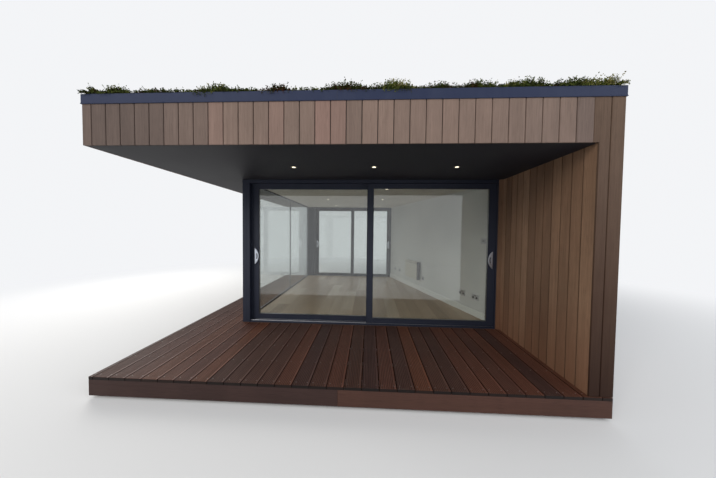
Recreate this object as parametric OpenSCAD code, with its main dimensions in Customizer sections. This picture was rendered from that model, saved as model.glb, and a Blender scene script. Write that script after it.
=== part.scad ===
// Garden office pod: a single glazed room under a planted flat roof that
// runs out over a porch and a side walk. Millimetres, +Z up. The origin is on
// the ground, under the middle of the roof. The front faces -Y.

/* [Roof outline] */
// Width of the roof across the front, over the fascia boards
roof_w = 4539; // [4300:1:5200]
// Depth of the roof from front to back, over the fascia boards
roof_d = 5160; // [4900:1:6000]
// Depth of the porch, from the fascia to the front door frame
porch_d = 1360; // [1100:1:1600]
// Width of the covered walk on the left side
walk_w = 692; // [500:1:900]
// Distance the roof runs past the back door frame
back_eave = 100; // [60:1:200]
// Angle that the right wall leans inwards by, seen from above
side_angle = 18.2; // [12:0.1:20]

/* [Heights] */
// Height of the deck surface over the ground
deck_h = 200; // [180:1:300]
// Height from the deck surface to the soffit
clear_h = 2074; // [2000:1:2300]
// Height of the fascia boards
fascia_h = 356; // [280:1:420]
// Height of the metal roof trim
trim_h = 86; // [50:1:110]
// Height that the planting stands over the trim
planting_h = 40; // [30:1:80]
// Distance from the ceiling up to the soffit level
ceiling_drop = 24; // [15:1:60]

/* [Base] */
// Distance from the skirt boards to the concrete strips
strip_edge = 60; // [40:1:120]
// Height of the concrete strips
strip_h = 50; // [40:1:80]
// Width of the concrete strips
strip_w = 200; // [150:1:300]
// Spacing of the concrete strips
strip_pitch = 1180; // [1000:1:1300]
// Thickness of the deck boards
deck_board_t = 28; // [20:1:35]
// Width of a deck joist
joist_w = 47; // [38:1:63]
// Spacing of the deck joists, at most
joist_pitch = 430; // [350:1:600]
// Gap between the skirt boards and the ground
skirt_gap = 25; // [15:1:40]
// Thickness of the oak floor on its underlay
oak_t = 30; // [20:1:40]

/* [Walls] */
// Thickness of the wing wall beside the porch, over its cladding
wing_t = 190; // [150:1:240]
// Thickness of the right wall, over its cladding and lining
wall_t = 225; // [200:1:300]
// Width of the corner batten between the wing wall and the front door
batten_w = 48; // [45:1:70]
// Thickness of the cedar cladding and of the skirt boards
cladding_t = 20; // [16:1:28]
// Thickness of the plaster lining
lining_t = 12.5; // [9.5:0.5:25]
// Gap between the foot of the cladding and the deck
cladding_gap = 5; // [3:1:15]
// Height of the skirting board
skirting_h = 100; // [60:1:150]
// Thickness of the skirting board
skirting_t = 15; // [10:1:22]
// Width of the front left post
front_post_w = 60; // [50:1:120]
// Width of the back left post
back_post_w = 190; // [100:1:240]

/* [Sliding doors] */
// Depth of the door frames
frame_d = 130; // [126:1:160]
// Width of the frame's jambs and height of its head
jamb_w = 45; // [35:1:70]
// Thickness of the fins that part the two tracks
fin_t = 6; // [3:1:8]
// Distance that the fins stand out from the head and the jambs
fin_d = 15; // [8:1:20]
// Height of the sill
sill_h = 20; // [16:1:30]
// Fall of the sill's sloping nose
nose_fall = 8; // [4:1:12]
// Width of the sill's sloping nose
nose_w = 18; // [10:1:18]
// Height of a track rail over the sill
rail_h = 10; // [8:1:14]
// Width of a track rail
rail_w = 6; // [4:1:10]
// Width of the stiles beside the jambs
stile_w = 98; // [80:1:120]
// Width of the meeting stiles, which overlap by the same width
meeting_w = 86; // [70:1:100]
// Height of the sash rails
sash_rail_h = 70; // [60:1:100]
// Thickness of a sash
sash_t = 40; // [36:1:46]
// Bevel along the edges of a sash
sash_bevel = 1.5; // [0.5:0.5:1.5]
// Distance from the frame's front to the outer sash
sash_inset = 10; // [6:1:14]
// Gap between the two sashes
sash_gap = 24; // [22:1:30]
// Gap between a sash and the frame
sash_clear = 5; // [3:1:8]
// Thickness of the glass units
glass_t = 28; // [24:1:32]
// Depth that a glass unit sits into its sash
glass_seat = 14; // [10:1:18]
// Gap between the edge of a glass unit and the bottom of its groove
glass_play = 4; // [2:1:6]
// Width of the glazing bead on a sash's room side
bead_w = 26; // [24:1:32]
// Width and depth of the line along the bead's joint
bead_line = 1.5; // [1:0.5:2]
// Width of the draught seal's groove in a meeting stile
seal_w = 12; // [8:1:16]
// Depth of the draught seal's groove
seal_d = 6; // [4:1:8]
// Distance that the back frame runs behind the wall lining
frame_lap = 32; // [10:1:40]

/* [Handles] */
// Height of a handle
handle_h = 240; // [180:1:260]
// Width of a handle
handle_w = 58; // [50:1:70]
// Depth of a handle
handle_t = 16; // [12:1:16]
// Width of a handle's bowed grip
grip_w = 16; // [12:1:20]
// Width of a handle's finger slot
slot_w = 14; // [12:1:18]
// Height of a handle's finger slot
slot_h = 80; // [70:1:110]
// Distance from the sash's edge to the handle's straight side
handle_inset = 40; // [35:1:50]
// Height of the handles' middle over the deck
handle_z = 963; // [900:1:1100]

/* [Side glazing] */
// Distance from the post's outer face to the side glass
pane_inset = 15; // [12:1:30]
// Width of the channel under and over the side glass
channel_w = 48; // [40:1:56]
// Height of the channels
channel_h = 45; // [35:1:60]
// Depth that the glass sits into the channels
channel_seat = 20; // [12:1:24]
// Share of the side glass that the front pane takes
front_pane_share = 0.545; // [0.4:0.005:0.6]
// Width of the joint between the two panes
pane_joint = 8; // [5:1:12]

/* [Roof] */
// Thickness of the soffit board
soffit_t = 12; // [9:1:18]
// Distance that the trim stands out past the fascia
trim_lip = 8; // [4:1:30]
// Width of the trim, behind the fascia's face
trim_w = 60; // [40:1:100]
// Height of the growing medium
medium_h = 61; // [40:1:70]

/* [Fittings] */
// Radius of a downlight
light_r = 42; // [35:1:50]
// Distance that a downlight stands below the ceiling
light_t = 4; // [3:1:8]
// Radius of a downlight's lens
lens_r = 29; // [20:1:32]
// Place of the middle porch light across the front
porch_light_x = 2574; // [2400:1:2700]
// Spacing of the porch lights
porch_light_pitch = 921; // [700:1:1000]
// Distance from the fascia to the porch lights
porch_light_y = 710; // [500:1:800]
// Spacing of the room lights along the room
room_light_pitch = 1260; // [900:1:1400]
// Spacing of the room lights across the room
room_light_gap = 1200; // [800:1:1300]
// Width of the panel heater
heater_w = 600; // [400:1:700]
// Height of the panel heater
heater_h = 400; // [300:1:450]
// Thickness of the panel heater
heater_t = 60; // [50:1:80]
// Radius of the panel heater's front corners
heater_r = 12; // [6:1:20]
// Distance between the heater and the wall
heater_gap = 20; // [15:1:30]
// Height of the heater's foot over the floor
heater_foot = 245; // [150:1:400]
// Distance from the front door frame to the middle of the heater, along the wall
heater_at = 2245; // [1900:1:2400]
// Width of the control strip at the heater's near end
control_w = 36; // [30:1:60]
// Width and depth of the line beside the control strip
control_line = 2; // [1:0.5:3]
// Spacing of the slots in the heater's top
vent_pitch = 24; // [18:1:40]
// Width of a slot in the heater's top
vent_w = 10; // [6:1:12]
// Depth of a slot in the heater's top
vent_d = 15; // [8:1:30]
// Width of a heater bracket
bracket_w = 40; // [30:1:60]
// Height of a heater bracket
bracket_h = 200; // [100:1:250]
// Spacing of the heater brackets
bracket_pitch = 340; // [200:1:360]
// Size of a single switch or socket plate
plate_w = 86; // [80:1:90]
// Width of a double socket plate
double_w = 146; // [140:1:150]
// Thickness of the plates
plate_t = 9; // [6:1:12]
// Height of the sockets' middle over the deck
socket_z = 335; // [250:1:480]
// Height of the switch's middle over the deck
switch_z = 1220; // [1000:1:1300]
// Distance from the front door frame to the first double socket, along the wall
double_at = 300; // [200:1:400]
// Spacing of the double sockets
double_pitch = 300; // [200:1:400]
// Distance from the front door frame to the heater's socket, along the wall
single_at = 1840; // [1700:1:1880]
// Distance from the front door frame to the first far socket, along the wall
far_at = 3010; // [2800:1:3040]
// Spacing of the far sockets
far_pitch = 270; // [150:1:300]
// Distance from the front door frame to the switch, along the wall
switch_at = 165; // [120:1:220]

/* [Hidden] */

$fn = 48;
eps = 1;
// Gap that keeps two pieces of one node apart
seam = 0.3;

// Heights
soffit_z = deck_h + clear_h;
fascia_top = soffit_z + fascia_h;
trim_top = fascia_top + trim_h;
planting_top = trim_top + planting_h;
ceiling_z = soffit_z - ceiling_drop;
joist_h = deck_h - deck_board_t - strip_h;
floor_z = deck_h + oak_t;
medium_top = fascia_top + medium_h;
pane_z0 = deck_h + channel_h - channel_seat;
pane_z1 = soffit_z - channel_h + channel_seat;

// Places in plan, from the front left corner of the fascia
front_y = porch_d;
front_in_y = front_y + frame_d;
back_y = roof_d - back_eave;
back_in_y = back_y - frame_d;
front_frame_x0 = walk_w + front_post_w;
front_frame_x1 = roof_w - wall_t + cladding_t;
back_frame_x0 = walk_w + back_post_w;
back_frame_x1 = side_x(back_in_y, -wall_t) + frame_lap;
front_w = front_frame_x1 - front_frame_x0;
back_w = back_frame_x1 - back_frame_x0;
pane_split_y = front_in_y + front_pane_share * (back_in_y - front_in_y);

// Sliding door
head_z = clear_h - jamb_w;
rail_top = sill_h + rail_h;
sash_z0 = rail_top + seam;
sash_z1 = head_z - sash_clear;
groove_d = glass_seat + glass_play;
groove_w = glass_t + 2 * seam;
handle_r = (pow(handle_h / 2, 2) + pow(handle_w, 2)) / (2 * handle_w);

// Distance across the front of the right wall's line, moved out by d
function side_x(y, d) =
    roof_w + (d - (y - front_in_y) * sin(side_angle)) / cos(side_angle);
// Place where the wing wall's line meets the right wall's line, both moved out by d
function bend_y(d) = front_in_y + d * tan(side_angle / 2);
// The roof's five corners, moved out by d
function outline(d) = [
    [-d, -d], [roof_w + d, -d], [roof_w + d, bend_y(d)],
    [side_x(roof_d + d, d), roof_d + d], [-d, roof_d + d]];
function sash_w(frame_w) =
    (frame_w - 2 * jamb_w - 2 * sash_clear + meeting_w) / 2;

// Moves the plan's corner to the origin
module placed() {
    translate([-roof_w / 2, -roof_d / 2, 0]) children();
}

// A box from one corner to the other
module block(from, to) {
    translate(from) cube(to - from);
}

// A flat slab of the given outline between two heights
module slab(points, z0, z1) {
    translate([0, 0, z0]) linear_extrude(z1 - z0) polygon(points);
}

// A band round the roof between two offsets and two heights
module band(d_out, d_in, z0, z1) {
    translate([0, 0, z0]) linear_extrude(z1 - z0) difference() {
        polygon(outline(d_out));
        polygon(outline(d_in));
    }
}

// A sheet along the right wall between two offsets, two places and two heights
module side_sheet(d_out, d_in, y0, y1, z0, z1) {
    slab([[side_x(y0, d_in), y0], [side_x(y0, d_out), y0],
        [side_x(y1, d_out), y1], [side_x(y1, d_in), y1]], z0, z1);
}

// Places a fitting on the inner face of the right wall: x runs along the wall
// from the front door frame, y into the room, z up
module on_side_wall(along) {
    translate([side_x(front_in_y, -wall_t), front_in_y, 0])
        rotate(90 + side_angle) translate([along, 0, 0]) children();
}

// Concrete strips that run from front to back under the joists and the floor
module foundation_strips() {
    edge = strip_edge + cladding_t;
    color("silver") placed()
        for (x = [edge : strip_pitch : roof_w - strip_w - edge]) {
            lean = (roof_w - edge - strip_w - x) / tan(side_angle);
            y1 = min(back_y - edge, front_in_y + lean);
            block([x, edge, 0], [x + strip_w, y1, strip_h]);
        }
}

module floor_platform() {
    inset = cladding_t;
    color("tan") placed()
        slab([[walk_w, front_y], [roof_w - inset, front_y],
            [roof_w - inset, bend_y(-inset)],
            [side_x(back_y, -inset), back_y], [walk_w, back_y]],
            strip_h, deck_h);
}

module oak_floor() {
    x0 = walk_w + pane_inset + glass_t / 2 + channel_w / 2;
    color("burlywood") placed()
        slab([[x0, front_in_y],
            [side_x(front_in_y, -wall_t), front_in_y],
            [side_x(back_in_y, -wall_t), back_in_y],
            [x0, back_in_y]],
            deck_h, floor_z);
}

module deck_joists() {
    porch_run = front_y - cladding_t - joist_w;
    porch_bays = ceil(porch_run / joist_pitch);
    walk_run = back_y - front_y - 2 * joist_w;
    walk_bays = ceil(walk_run / joist_pitch);
    color("darkkhaki") placed() {
        for (i = [0 : porch_bays]) {
            y = cladding_t + i * porch_run / porch_bays;
            block([cladding_t, y, strip_h],
                [roof_w - cladding_t, y + joist_w, strip_h + joist_h]);
        }
        for (i = [0 : walk_bays]) {
            y = front_y + joist_w + i * walk_run / walk_bays;
            block([cladding_t, y, strip_h],
                [walk_w, y + joist_w, strip_h + joist_h]);
        }
    }
}

module porch_deck() {
    color("saddlebrown") placed()
        block([0, 0, deck_h - deck_board_t], [roof_w, front_y, deck_h]);
}

module side_deck() {
    color("saddlebrown") placed()
        block([0, front_y, deck_h - deck_board_t], [walk_w, back_y, deck_h]);
}

// Boards round the foot of the building, under the deck and the cladding
module base_skirt() {
    t = cladding_t;
    low = skirt_gap;
    under_deck = deck_h - deck_board_t;
    color("saddlebrown") placed() {
        block([0, 0, low], [roof_w, t, under_deck]);
        block([0, t + seam, low], [t, back_y, under_deck]);
        block([roof_w - t, t + seam, low], [roof_w, front_y, under_deck]);
        slab([[roof_w - t, front_y + seam], [roof_w, front_y + seam],
            [roof_w, front_in_y], [side_x(back_y, 0), back_y],
            [side_x(back_y, -t), back_y], [roof_w - t, bend_y(-t)]],
            low, deck_h);
        block([0, back_y + seam, low],
            [side_x(back_y, 0), back_y + t, under_deck]);
    }
}

// The wall that carries the porch roof on the right
module wing_wall() {
    t = cladding_t;
    color("tan") placed() {
        block([roof_w - wing_t + t, t, deck_h],
            [roof_w - t, front_y - seam, soffit_z]);
        block([front_frame_x1, front_y, deck_h],
            [roof_w - t, front_in_y, soffit_z]);
    }
}

// Cedar on the wing wall's outer face, its end and its inner face, and the
// corner batten that covers the joint with the front door frame
module wing_cladding() {
    t = cladding_t;
    z0 = deck_h + cladding_gap;
    inner_x = roof_w - wing_t;
    color("peru") placed() {
        block([inner_x, 0, z0], [roof_w, t, soffit_z]);
        block([inner_x, t + seam, z0], [inner_x + t, front_y - seam, soffit_z]);
        block([roof_w - t, t + seam, z0], [roof_w, front_in_y, soffit_z]);
        block([inner_x - batten_w, front_y - t, z0],
            [inner_x - seam, front_y, soffit_z]);
    }
}

// The right wall, with a rebate at its end for the back door frame
module side_wall() {
    d_out = -cladding_t - seam;
    d_in = lining_t - wall_t;
    color("tan") placed()
        slab([[side_x(front_in_y, d_out), front_in_y],
            [side_x(back_y, d_out), back_y],
            [back_frame_x1, back_y], [back_frame_x1, back_in_y],
            [side_x(back_in_y, d_in), back_in_y],
            [side_x(front_in_y, d_in), front_in_y]],
            deck_h, soffit_z);
}

// Cedar on the right wall's outer face and on its back end
module side_cladding() {
    t = cladding_t;
    z0 = deck_h + cladding_gap;
    color("peru") placed() {
        side_sheet(0, -t, front_in_y + seam, back_y, z0, soffit_z);
        block([back_frame_x1, back_y + seam, z0],
            [side_x(back_y, 0), back_y + t, soffit_z]);
    }
}

module side_lining() {
    color("white") placed()
        side_sheet(lining_t - wall_t, -wall_t, front_in_y, back_in_y,
            deck_h, soffit_z);
}

module skirting_board() {
    color("white") placed()
        side_sheet(-wall_t, -wall_t - skirting_t, front_in_y, back_in_y,
            floor_z, floor_z + skirting_h);
}

module front_left_post() {
    color("darkslategray") placed()
        block([walk_w, front_y, deck_h],
            [walk_w + front_post_w, front_in_y, soffit_z]);
}

module back_left_post() {
    color("darkslategray") placed()
        block([walk_w, back_in_y, deck_h],
            [walk_w + back_post_w, back_y, soffit_z]);
}

// A channel along the side glass, with its groove facing up
module glass_channel() {
    wall = (channel_w - glass_t) / 2;
    w = channel_w / 2;
    h = channel_h;
    floor_h = h - channel_seat;
    rotate([90, 0, 0]) linear_extrude(back_in_y - front_in_y)
        polygon([[-w, 0], [w, 0], [w, h], [w - wall, h], [w - wall, floor_h],
            [wall - w, floor_h], [wall - w, h], [-w, h]]);
}

module side_glass_channels() {
    x = walk_w + pane_inset + glass_t / 2;
    color("darkslategray") placed() {
        translate([x, back_in_y, deck_h]) glass_channel();
        translate([x, back_in_y, soffit_z]) mirror([0, 0, 1]) glass_channel();
    }
}

// Two panes, seated in the channels
module side_glass() {
    x = walk_w + pane_inset;
    gap = pane_joint / 2;
    color("lightblue", 0.4) placed() {
        block([x, front_in_y, pane_z0],
            [x + glass_t, pane_split_y - gap, pane_z1]);
        block([x, pane_split_y + gap, pane_z0],
            [x + glass_t, back_in_y, pane_z1]);
    }
}

module side_glass_joint() {
    x = walk_w + pane_inset;
    gap = pane_joint / 2;
    color("black") placed()
        block([x, pane_split_y - gap, pane_z0],
            [x + glass_t, pane_split_y + gap, pane_z1]);
}

// A door frame of the given width, its outer face on y = 0: the head, the jambs
// and, between the two tracks, a fin along each of them
module door_frame(w) {
    fin_y = sash_y(1) - (sash_gap + fin_t) / 2;
    fin_end = jamb_w + fin_d + seam;
    block([0, 0, head_z], [w, frame_d, clear_h]);
    block([fin_end, fin_y, head_z - fin_d],
        [w - fin_end, fin_y + fin_t, head_z - seam]);
    for (side = [0, 1])
        translate([side * w, 0, 0]) mirror([side, 0, 0]) {
            block([0, 0, 0], [jamb_w, frame_d, head_z - seam]);
            block([jamb_w + seam, fin_y, sill_h + seam],
                [jamb_w + fin_d, fin_y + fin_t, head_z - seam]);
        }
}

// A bar along x with the given section, which has its x upwards
module bar(x0, x1) {
    translate([x1, 0, 0]) rotate([0, -90, 0]) linear_extrude(x1 - x0) children();
}

// The sill between the jambs, with a sloping nose and a round-topped rail under
// each sash
module door_sill(w) {
    r = rail_w / 2;
    bar(jamb_w, w - jamb_w) {
        polygon([[0, 0], [sill_h - nose_fall, 0], [sill_h, nose_w],
            [sill_h, frame_d], [0, frame_d]]);
        for (track = [0, 1])
            translate([sill_h, sash_y(track) + sash_t / 2]) {
                translate([-eps, -r]) square([rail_h - r + eps, rail_w]);
                translate([rail_h - r, 0]) circle(r);
            }
    }
}

// Distance of a track's sash from the frame's outer face: 0 outer, 1 inner
function sash_y(track) = sash_inset + track * (sash_t + sash_gap);
// Place of a track's sash along the frame: the outer track's sash is at the right
function sash_x(track, w) = track == 0 ?
    w - jamb_w - sash_clear - sash_w(w) : jamb_w + sash_clear;

// Mirrors what is drawn for track 1, with the jamb at the left, for track 0
module from_jamb(track, w) {
    if (track == 0) translate([w, 0, 0]) mirror([1, 0, 0]) children();
    else children();
}

// Section of a sash member: x runs from its outer edge to the glass, and y from
// the outer face to the room face, where a line marks the glazing bead
module sash_section(w) {
    b = sash_bevel;
    difference() {
        polygon([[0, b], [b, 0], [w - b, 0], [w, b], [w, sash_t - b],
            [w - b, sash_t], [b, sash_t], [0, sash_t - b]]);
        translate([w - groove_d, (sash_t - groove_w) / 2])
            square([groove_d + eps, groove_w]);
        translate([w - bead_w, sash_t - bead_line])
            square([bead_line, bead_line + eps]);
    }
}

// Section of a meeting stile, with a groove for the draught seal in the face
// towards the other sash
module meeting_section(track) {
    y = track == 0 ? sash_t - seal_d : -eps;
    difference() {
        sash_section(meeting_w);
        translate([(meeting_w - seal_w) / 2, y]) square([seal_w, seal_d + eps]);
    }
}

// A jamb stile, a meeting stile and two rails between them
module sash(track, w) {
    h = sash_z1 - sash_z0;
    from_jamb(track, w) {
        translate([0, 0, sash_z0]) linear_extrude(h) sash_section(stile_w);
        translate([w, 0, sash_z0]) mirror([1, 0, 0])
            linear_extrude(h) meeting_section(track);
        for (top = [0, 1])
            translate([0, 0, top == 0 ? sash_z0 : sash_z1])
                mirror([0, 0, top])
                    bar(stile_w + seam, w - meeting_w - seam)
                        sash_section(sash_rail_h);
    }
}

// A glass unit, seated in the grooves of its sash
module sash_glass(track, w) {
    y = (sash_t - glass_t) / 2;
    low = sash_z0 + sash_rail_h - glass_seat;
    high = sash_z1 - sash_rail_h + glass_seat;
    from_jamb(track, w)
        block([stile_w - glass_seat, y, low],
            [w - meeting_w + glass_seat, y + glass_t, high]);
}

// A D-shaped pull with a finger slot, lying in the xz plane: its straight side
// is on x = 0 and its bow towards +x, from y = -handle_t to 0
module crescent_handle() {
    middle = handle_w - handle_r;
    rotate([90, 0, 0]) linear_extrude(handle_t) difference() {
        intersection() {
            translate([middle, 0]) circle(handle_r, $fn = 96);
            translate([0, -handle_h / 2]) square([handle_w, handle_h]);
        }
        intersection() {
            translate([middle, 0]) difference() {
                circle(handle_r - grip_w, $fn = 96);
                circle(handle_r - grip_w - slot_w, $fn = 96);
            }
            translate([0, -slot_h / 2]) square([handle_w, slot_h]);
        }
    }
}

// The outer and the inner handle of a sash, on its jamb stile
module sash_handles(track, w) {
    from_jamb(track, w)
        for (side = [0, 1])
            translate([handle_inset, side * sash_t, handle_z])
                mirror([0, side, 0]) crescent_handle();
}

// Places a door leaf of the given track in a frame of width w
module leaf(track, w) {
    translate([sash_x(track, w), sash_y(track), 0]) children();
}

module at_front() {
    placed() translate([front_frame_x0, front_y, deck_h]) children();
}

module at_back() {
    placed() translate([back_frame_x1, back_y, deck_h])
        rotate(180) children();
}

module front_door_frame() { color("darkslategray") at_front() door_frame(front_w); }
module front_door_sill() { color("silver") at_front() door_sill(front_w); }
module front_left_sash() {
    color("darkslategray") at_front() leaf(1, front_w) sash(1, sash_w(front_w));
}
module front_left_glass() {
    color("lightblue", 0.4) at_front() leaf(1, front_w)
        sash_glass(1, sash_w(front_w));
}
module front_left_handles() {
    color("silver") at_front() leaf(1, front_w)
        sash_handles(1, sash_w(front_w));
}
module front_right_sash() {
    color("darkslategray") at_front() leaf(0, front_w) sash(0, sash_w(front_w));
}
module front_right_glass() {
    color("lightblue", 0.4) at_front() leaf(0, front_w)
        sash_glass(0, sash_w(front_w));
}
module front_right_handles() {
    color("silver") at_front() leaf(0, front_w)
        sash_handles(0, sash_w(front_w));
}

// The back door is the same set turned round, so its outer leaf is on the left
module back_door_frame() { color("darkslategray") at_back() door_frame(back_w); }
module back_door_sill() { color("silver") at_back() door_sill(back_w); }
module back_left_sash() {
    color("darkslategray") at_back() leaf(0, back_w) sash(0, sash_w(back_w));
}
module back_left_glass() {
    color("lightblue", 0.4) at_back() leaf(0, back_w)
        sash_glass(0, sash_w(back_w));
}
module back_left_handles() {
    color("silver") at_back() leaf(0, back_w)
        sash_handles(0, sash_w(back_w));
}
module back_right_sash() {
    color("darkslategray") at_back() leaf(1, back_w) sash(1, sash_w(back_w));
}
module back_right_glass() {
    color("lightblue", 0.4) at_back() leaf(1, back_w)
        sash_glass(1, sash_w(back_w));
}
module back_right_handles() {
    color("silver") at_back() leaf(1, back_w)
        sash_handles(1, sash_w(back_w));
}

module soffit() {
    color("dimgray") placed()
        slab(outline(-cladding_t), soffit_z, soffit_z + soffit_t);
}

module ceiling() {
    x0 = walk_w + pane_inset + glass_t / 2 + channel_w / 2;
    color("white") placed()
        slab([[x0, front_in_y],
            [side_x(front_in_y, -wall_t), front_in_y],
            [side_x(back_in_y, -wall_t), back_in_y],
            [x0, back_in_y]],
            ceiling_z, soffit_z);
}

module roof_structure() {
    color("tan") placed()
        slab(outline(-cladding_t), soffit_z + soffit_t, fascia_top);
}

module fascia_cladding() {
    color("peru") placed() band(0, -cladding_t, soffit_z, fascia_top);
}

module roof_trim() {
    color("darkslateblue") placed()
        band(trim_lip, -trim_w, fascia_top, trim_top);
}

module growing_medium() {
    color("sienna") placed() slab(outline(-trim_w), fascia_top, medium_top);
}

module sedum_planting() {
    color("olivedrab") placed()
        slab(outline(-trim_w - eps), medium_top, planting_top);
}

module downlight() {
    translate([0, 0, -light_t]) difference() {
        cylinder(h = light_t, r = light_r);
        translate([0, 0, -eps]) cylinder(h = light_t / 2 + eps, r = lens_r);
    }
}

module porch_lights() {
    color("white") placed()
        for (i = [-1 : 1])
            translate([porch_light_x + i * porch_light_pitch, porch_light_y,
                soffit_z]) downlight();
}

module room_lights() {
    mid_y = (front_in_y + back_in_y) / 2;
    mid_x = (walk_w + side_x(mid_y, -wall_t)) / 2;
    color("white") placed()
        for (i = [-1 : 1], side = [-0.5, 0.5])
            translate([mid_x + side * room_light_gap,
                mid_y + i * room_light_pitch, ceiling_z]) downlight();
}

// Outline of the heater from above, its back on y = 0 and its front corners round
module heater_outline() {
    x = heater_w / 2 - heater_r;
    translate([-heater_w / 2, 0]) square([heater_w, heater_t - heater_r]);
    translate([-x, 0]) square([2 * x, heater_t]);
    for (side = [-x, x])
        translate([side, heater_t - heater_r]) circle(heater_r);
}

// A flat electric heater on two wall brackets, with slots in its top and a
// control strip at the end that is nearer to the front door
module panel_heater() {
    vents_x0 = -heater_w / 2 + control_w + vent_pitch;
    vents_x1 = heater_w / 2 - heater_r - vent_w;
    color("whitesmoke") placed()
        on_side_wall(heater_at) translate([0, heater_gap, floor_z + heater_foot]) {
            difference() {
                linear_extrude(heater_h) heater_outline();
                for (x = [vents_x0 : vent_pitch : vents_x1])
                    translate([x, heater_r, heater_h - vent_d])
                        cube([vent_w, heater_t - 2 * heater_r, vent_d + eps]);
                translate([control_w - heater_w / 2, heater_t - control_line, -eps])
                    cube([control_line, heater_t, heater_h + 2 * eps]);
            }
            for (side = [-0.5, 0.5])
                translate([side * bracket_pitch, 0, heater_h / 2])
                    block([-bracket_w / 2, -heater_gap, -bracket_h / 2],
                        [bracket_w / 2, 0, bracket_h / 2]);
        }
}

// A plate on the wall, its middle at the given place and height
module wall_plate(along, z, w) {
    on_side_wall(along)
        block([-w / 2, 0, z - plate_w / 2], [w / 2, plate_t, z + plate_w / 2]);
}

module wall_sockets() {
    z = deck_h + socket_z;
    color("silver") placed() {
        for (i = [0, 1]) {
            wall_plate(double_at + i * double_pitch, z, double_w);
            wall_plate(far_at + i * far_pitch, z, plate_w);
        }
        wall_plate(single_at, z, plate_w);
        wall_plate(switch_at, deck_h + switch_z, plate_w);
    }
}

foundation_strips();
floor_platform();
oak_floor();
deck_joists();
porch_deck();
side_deck();
base_skirt();
wing_wall();
wing_cladding();
side_wall();
side_cladding();
side_lining();
skirting_board();
front_left_post();
back_left_post();
side_glass_channels();
side_glass();
side_glass_joint();
front_door_frame();
front_door_sill();
front_left_sash();
front_left_glass();
front_left_handles();
front_right_sash();
front_right_glass();
front_right_handles();
back_door_frame();
back_door_sill();
back_left_sash();
back_left_glass();
back_left_handles();
back_right_sash();
back_right_glass();
back_right_handles();
soffit();
ceiling();
roof_structure();
fascia_cladding();
roof_trim();
growing_medium();
sedum_planting();
porch_lights();
room_lights();
panel_heater();
wall_sockets();
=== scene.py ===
import math
import random

import bmesh
import bpy
import numpy as np
from mathutils import Matrix, Vector


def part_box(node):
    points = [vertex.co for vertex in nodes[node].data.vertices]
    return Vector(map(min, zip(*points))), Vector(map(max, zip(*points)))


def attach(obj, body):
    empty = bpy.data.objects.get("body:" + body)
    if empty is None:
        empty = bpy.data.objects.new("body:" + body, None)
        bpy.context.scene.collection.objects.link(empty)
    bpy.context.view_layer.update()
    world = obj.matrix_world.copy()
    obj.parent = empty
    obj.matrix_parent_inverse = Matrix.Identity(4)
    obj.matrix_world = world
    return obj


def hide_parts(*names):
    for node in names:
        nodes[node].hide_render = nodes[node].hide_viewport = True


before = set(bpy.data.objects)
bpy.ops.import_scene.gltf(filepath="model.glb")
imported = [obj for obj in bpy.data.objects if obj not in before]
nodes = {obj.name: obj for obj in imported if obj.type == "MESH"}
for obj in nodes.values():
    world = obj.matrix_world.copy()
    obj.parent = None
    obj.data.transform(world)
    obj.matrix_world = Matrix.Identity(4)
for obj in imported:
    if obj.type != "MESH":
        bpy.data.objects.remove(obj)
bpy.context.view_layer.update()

rng = random.Random(20)
scene = bpy.context.scene

# Sizes in metres. In plan they run from the fascia's front left corner, (X0, Y0)
(X0, Y0, SOFFIT_Z), (_, _, FASCIA_TOP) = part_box("fascia_cladding")
ROOF_W, ROOF_D = 4.539, 5.160
FRONT_Y, FRONT_IN_Y = 1.360, 1.490
BACK_Y, BACK_IN_Y = 5.060, 4.930
WALK_W = 0.692
CLEAR = 0.001
WING_T, WALL_T, CLADDING_T, BATTEN_W = 0.190, 0.225, 0.020, 0.048
DECK_UNDER_Z, DECK_Z = (corner[2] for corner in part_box("porch_deck"))
SKIRT_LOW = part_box("base_skirt")[0][2]
FLOOR_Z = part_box("oak_floor")[1][2]
TRIM_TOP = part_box("roof_trim")[1][2]
MEDIUM_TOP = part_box("growing_medium")[1][2]
WALL_BACK_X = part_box("back_door_frame")[1][0] - X0
PLAN = Matrix.Translation((X0, Y0, 0))
# These lay a bar's length, v, along y or along x
ALONG_Y = Matrix(((1, 0, 0, 0), (0, 0, 1, 0), (0, 1, 0, 0), (0, 0, 0, 1)))
ALONG_X = Matrix(((0, 0, 1, 0), (0, 1, 0, 0), (1, 0, 0, 0), (0, 0, 0, 1)))

# The right wall is splayed by this angle from the front wall's inner face on
SIDE_ANGLE = math.radians(18.2)
SIN, COS = math.sin(SIDE_ANGLE), math.cos(SIDE_ANGLE)
SLOPE, OUTWARD, INWARD = (-SIN, COS, 0), (COS, SIN, 0), (-COS, -SIN, 0)
SPLAY_ROOF_L = (ROOF_D - FRONT_IN_Y) / COS
SPLAY_WALL_L = (BACK_Y - FRONT_IN_Y) / COS


def side_x(y, d=0.0):
    """How far across the front the right wall's outer line is, moved out by d."""
    return ROOF_W + (d - (y - FRONT_IN_Y) * SIN) / COS


def outline(d):
    """The roof's five corners, moved out by d."""
    right, back = ROOF_W + d, ROOF_D + d
    bend = FRONT_IN_Y + d * math.tan(SIDE_ANGLE / 2)
    return [(-d, -d), (right, -d), (right, bend), (side_x(back, d), back), (-d, back)]


def frame_of(x, y, u, w=None):
    """Matrix from (along u, out along w, up) at a point of the plan. Left out, w is to the right of u."""
    turned = Matrix((u, w or (u[1], -u[0], 0), (0, 0, 1))).transposed().to_4x4()
    return Matrix.Translation((X0 + x, Y0 + y, 0)) @ turned


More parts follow.
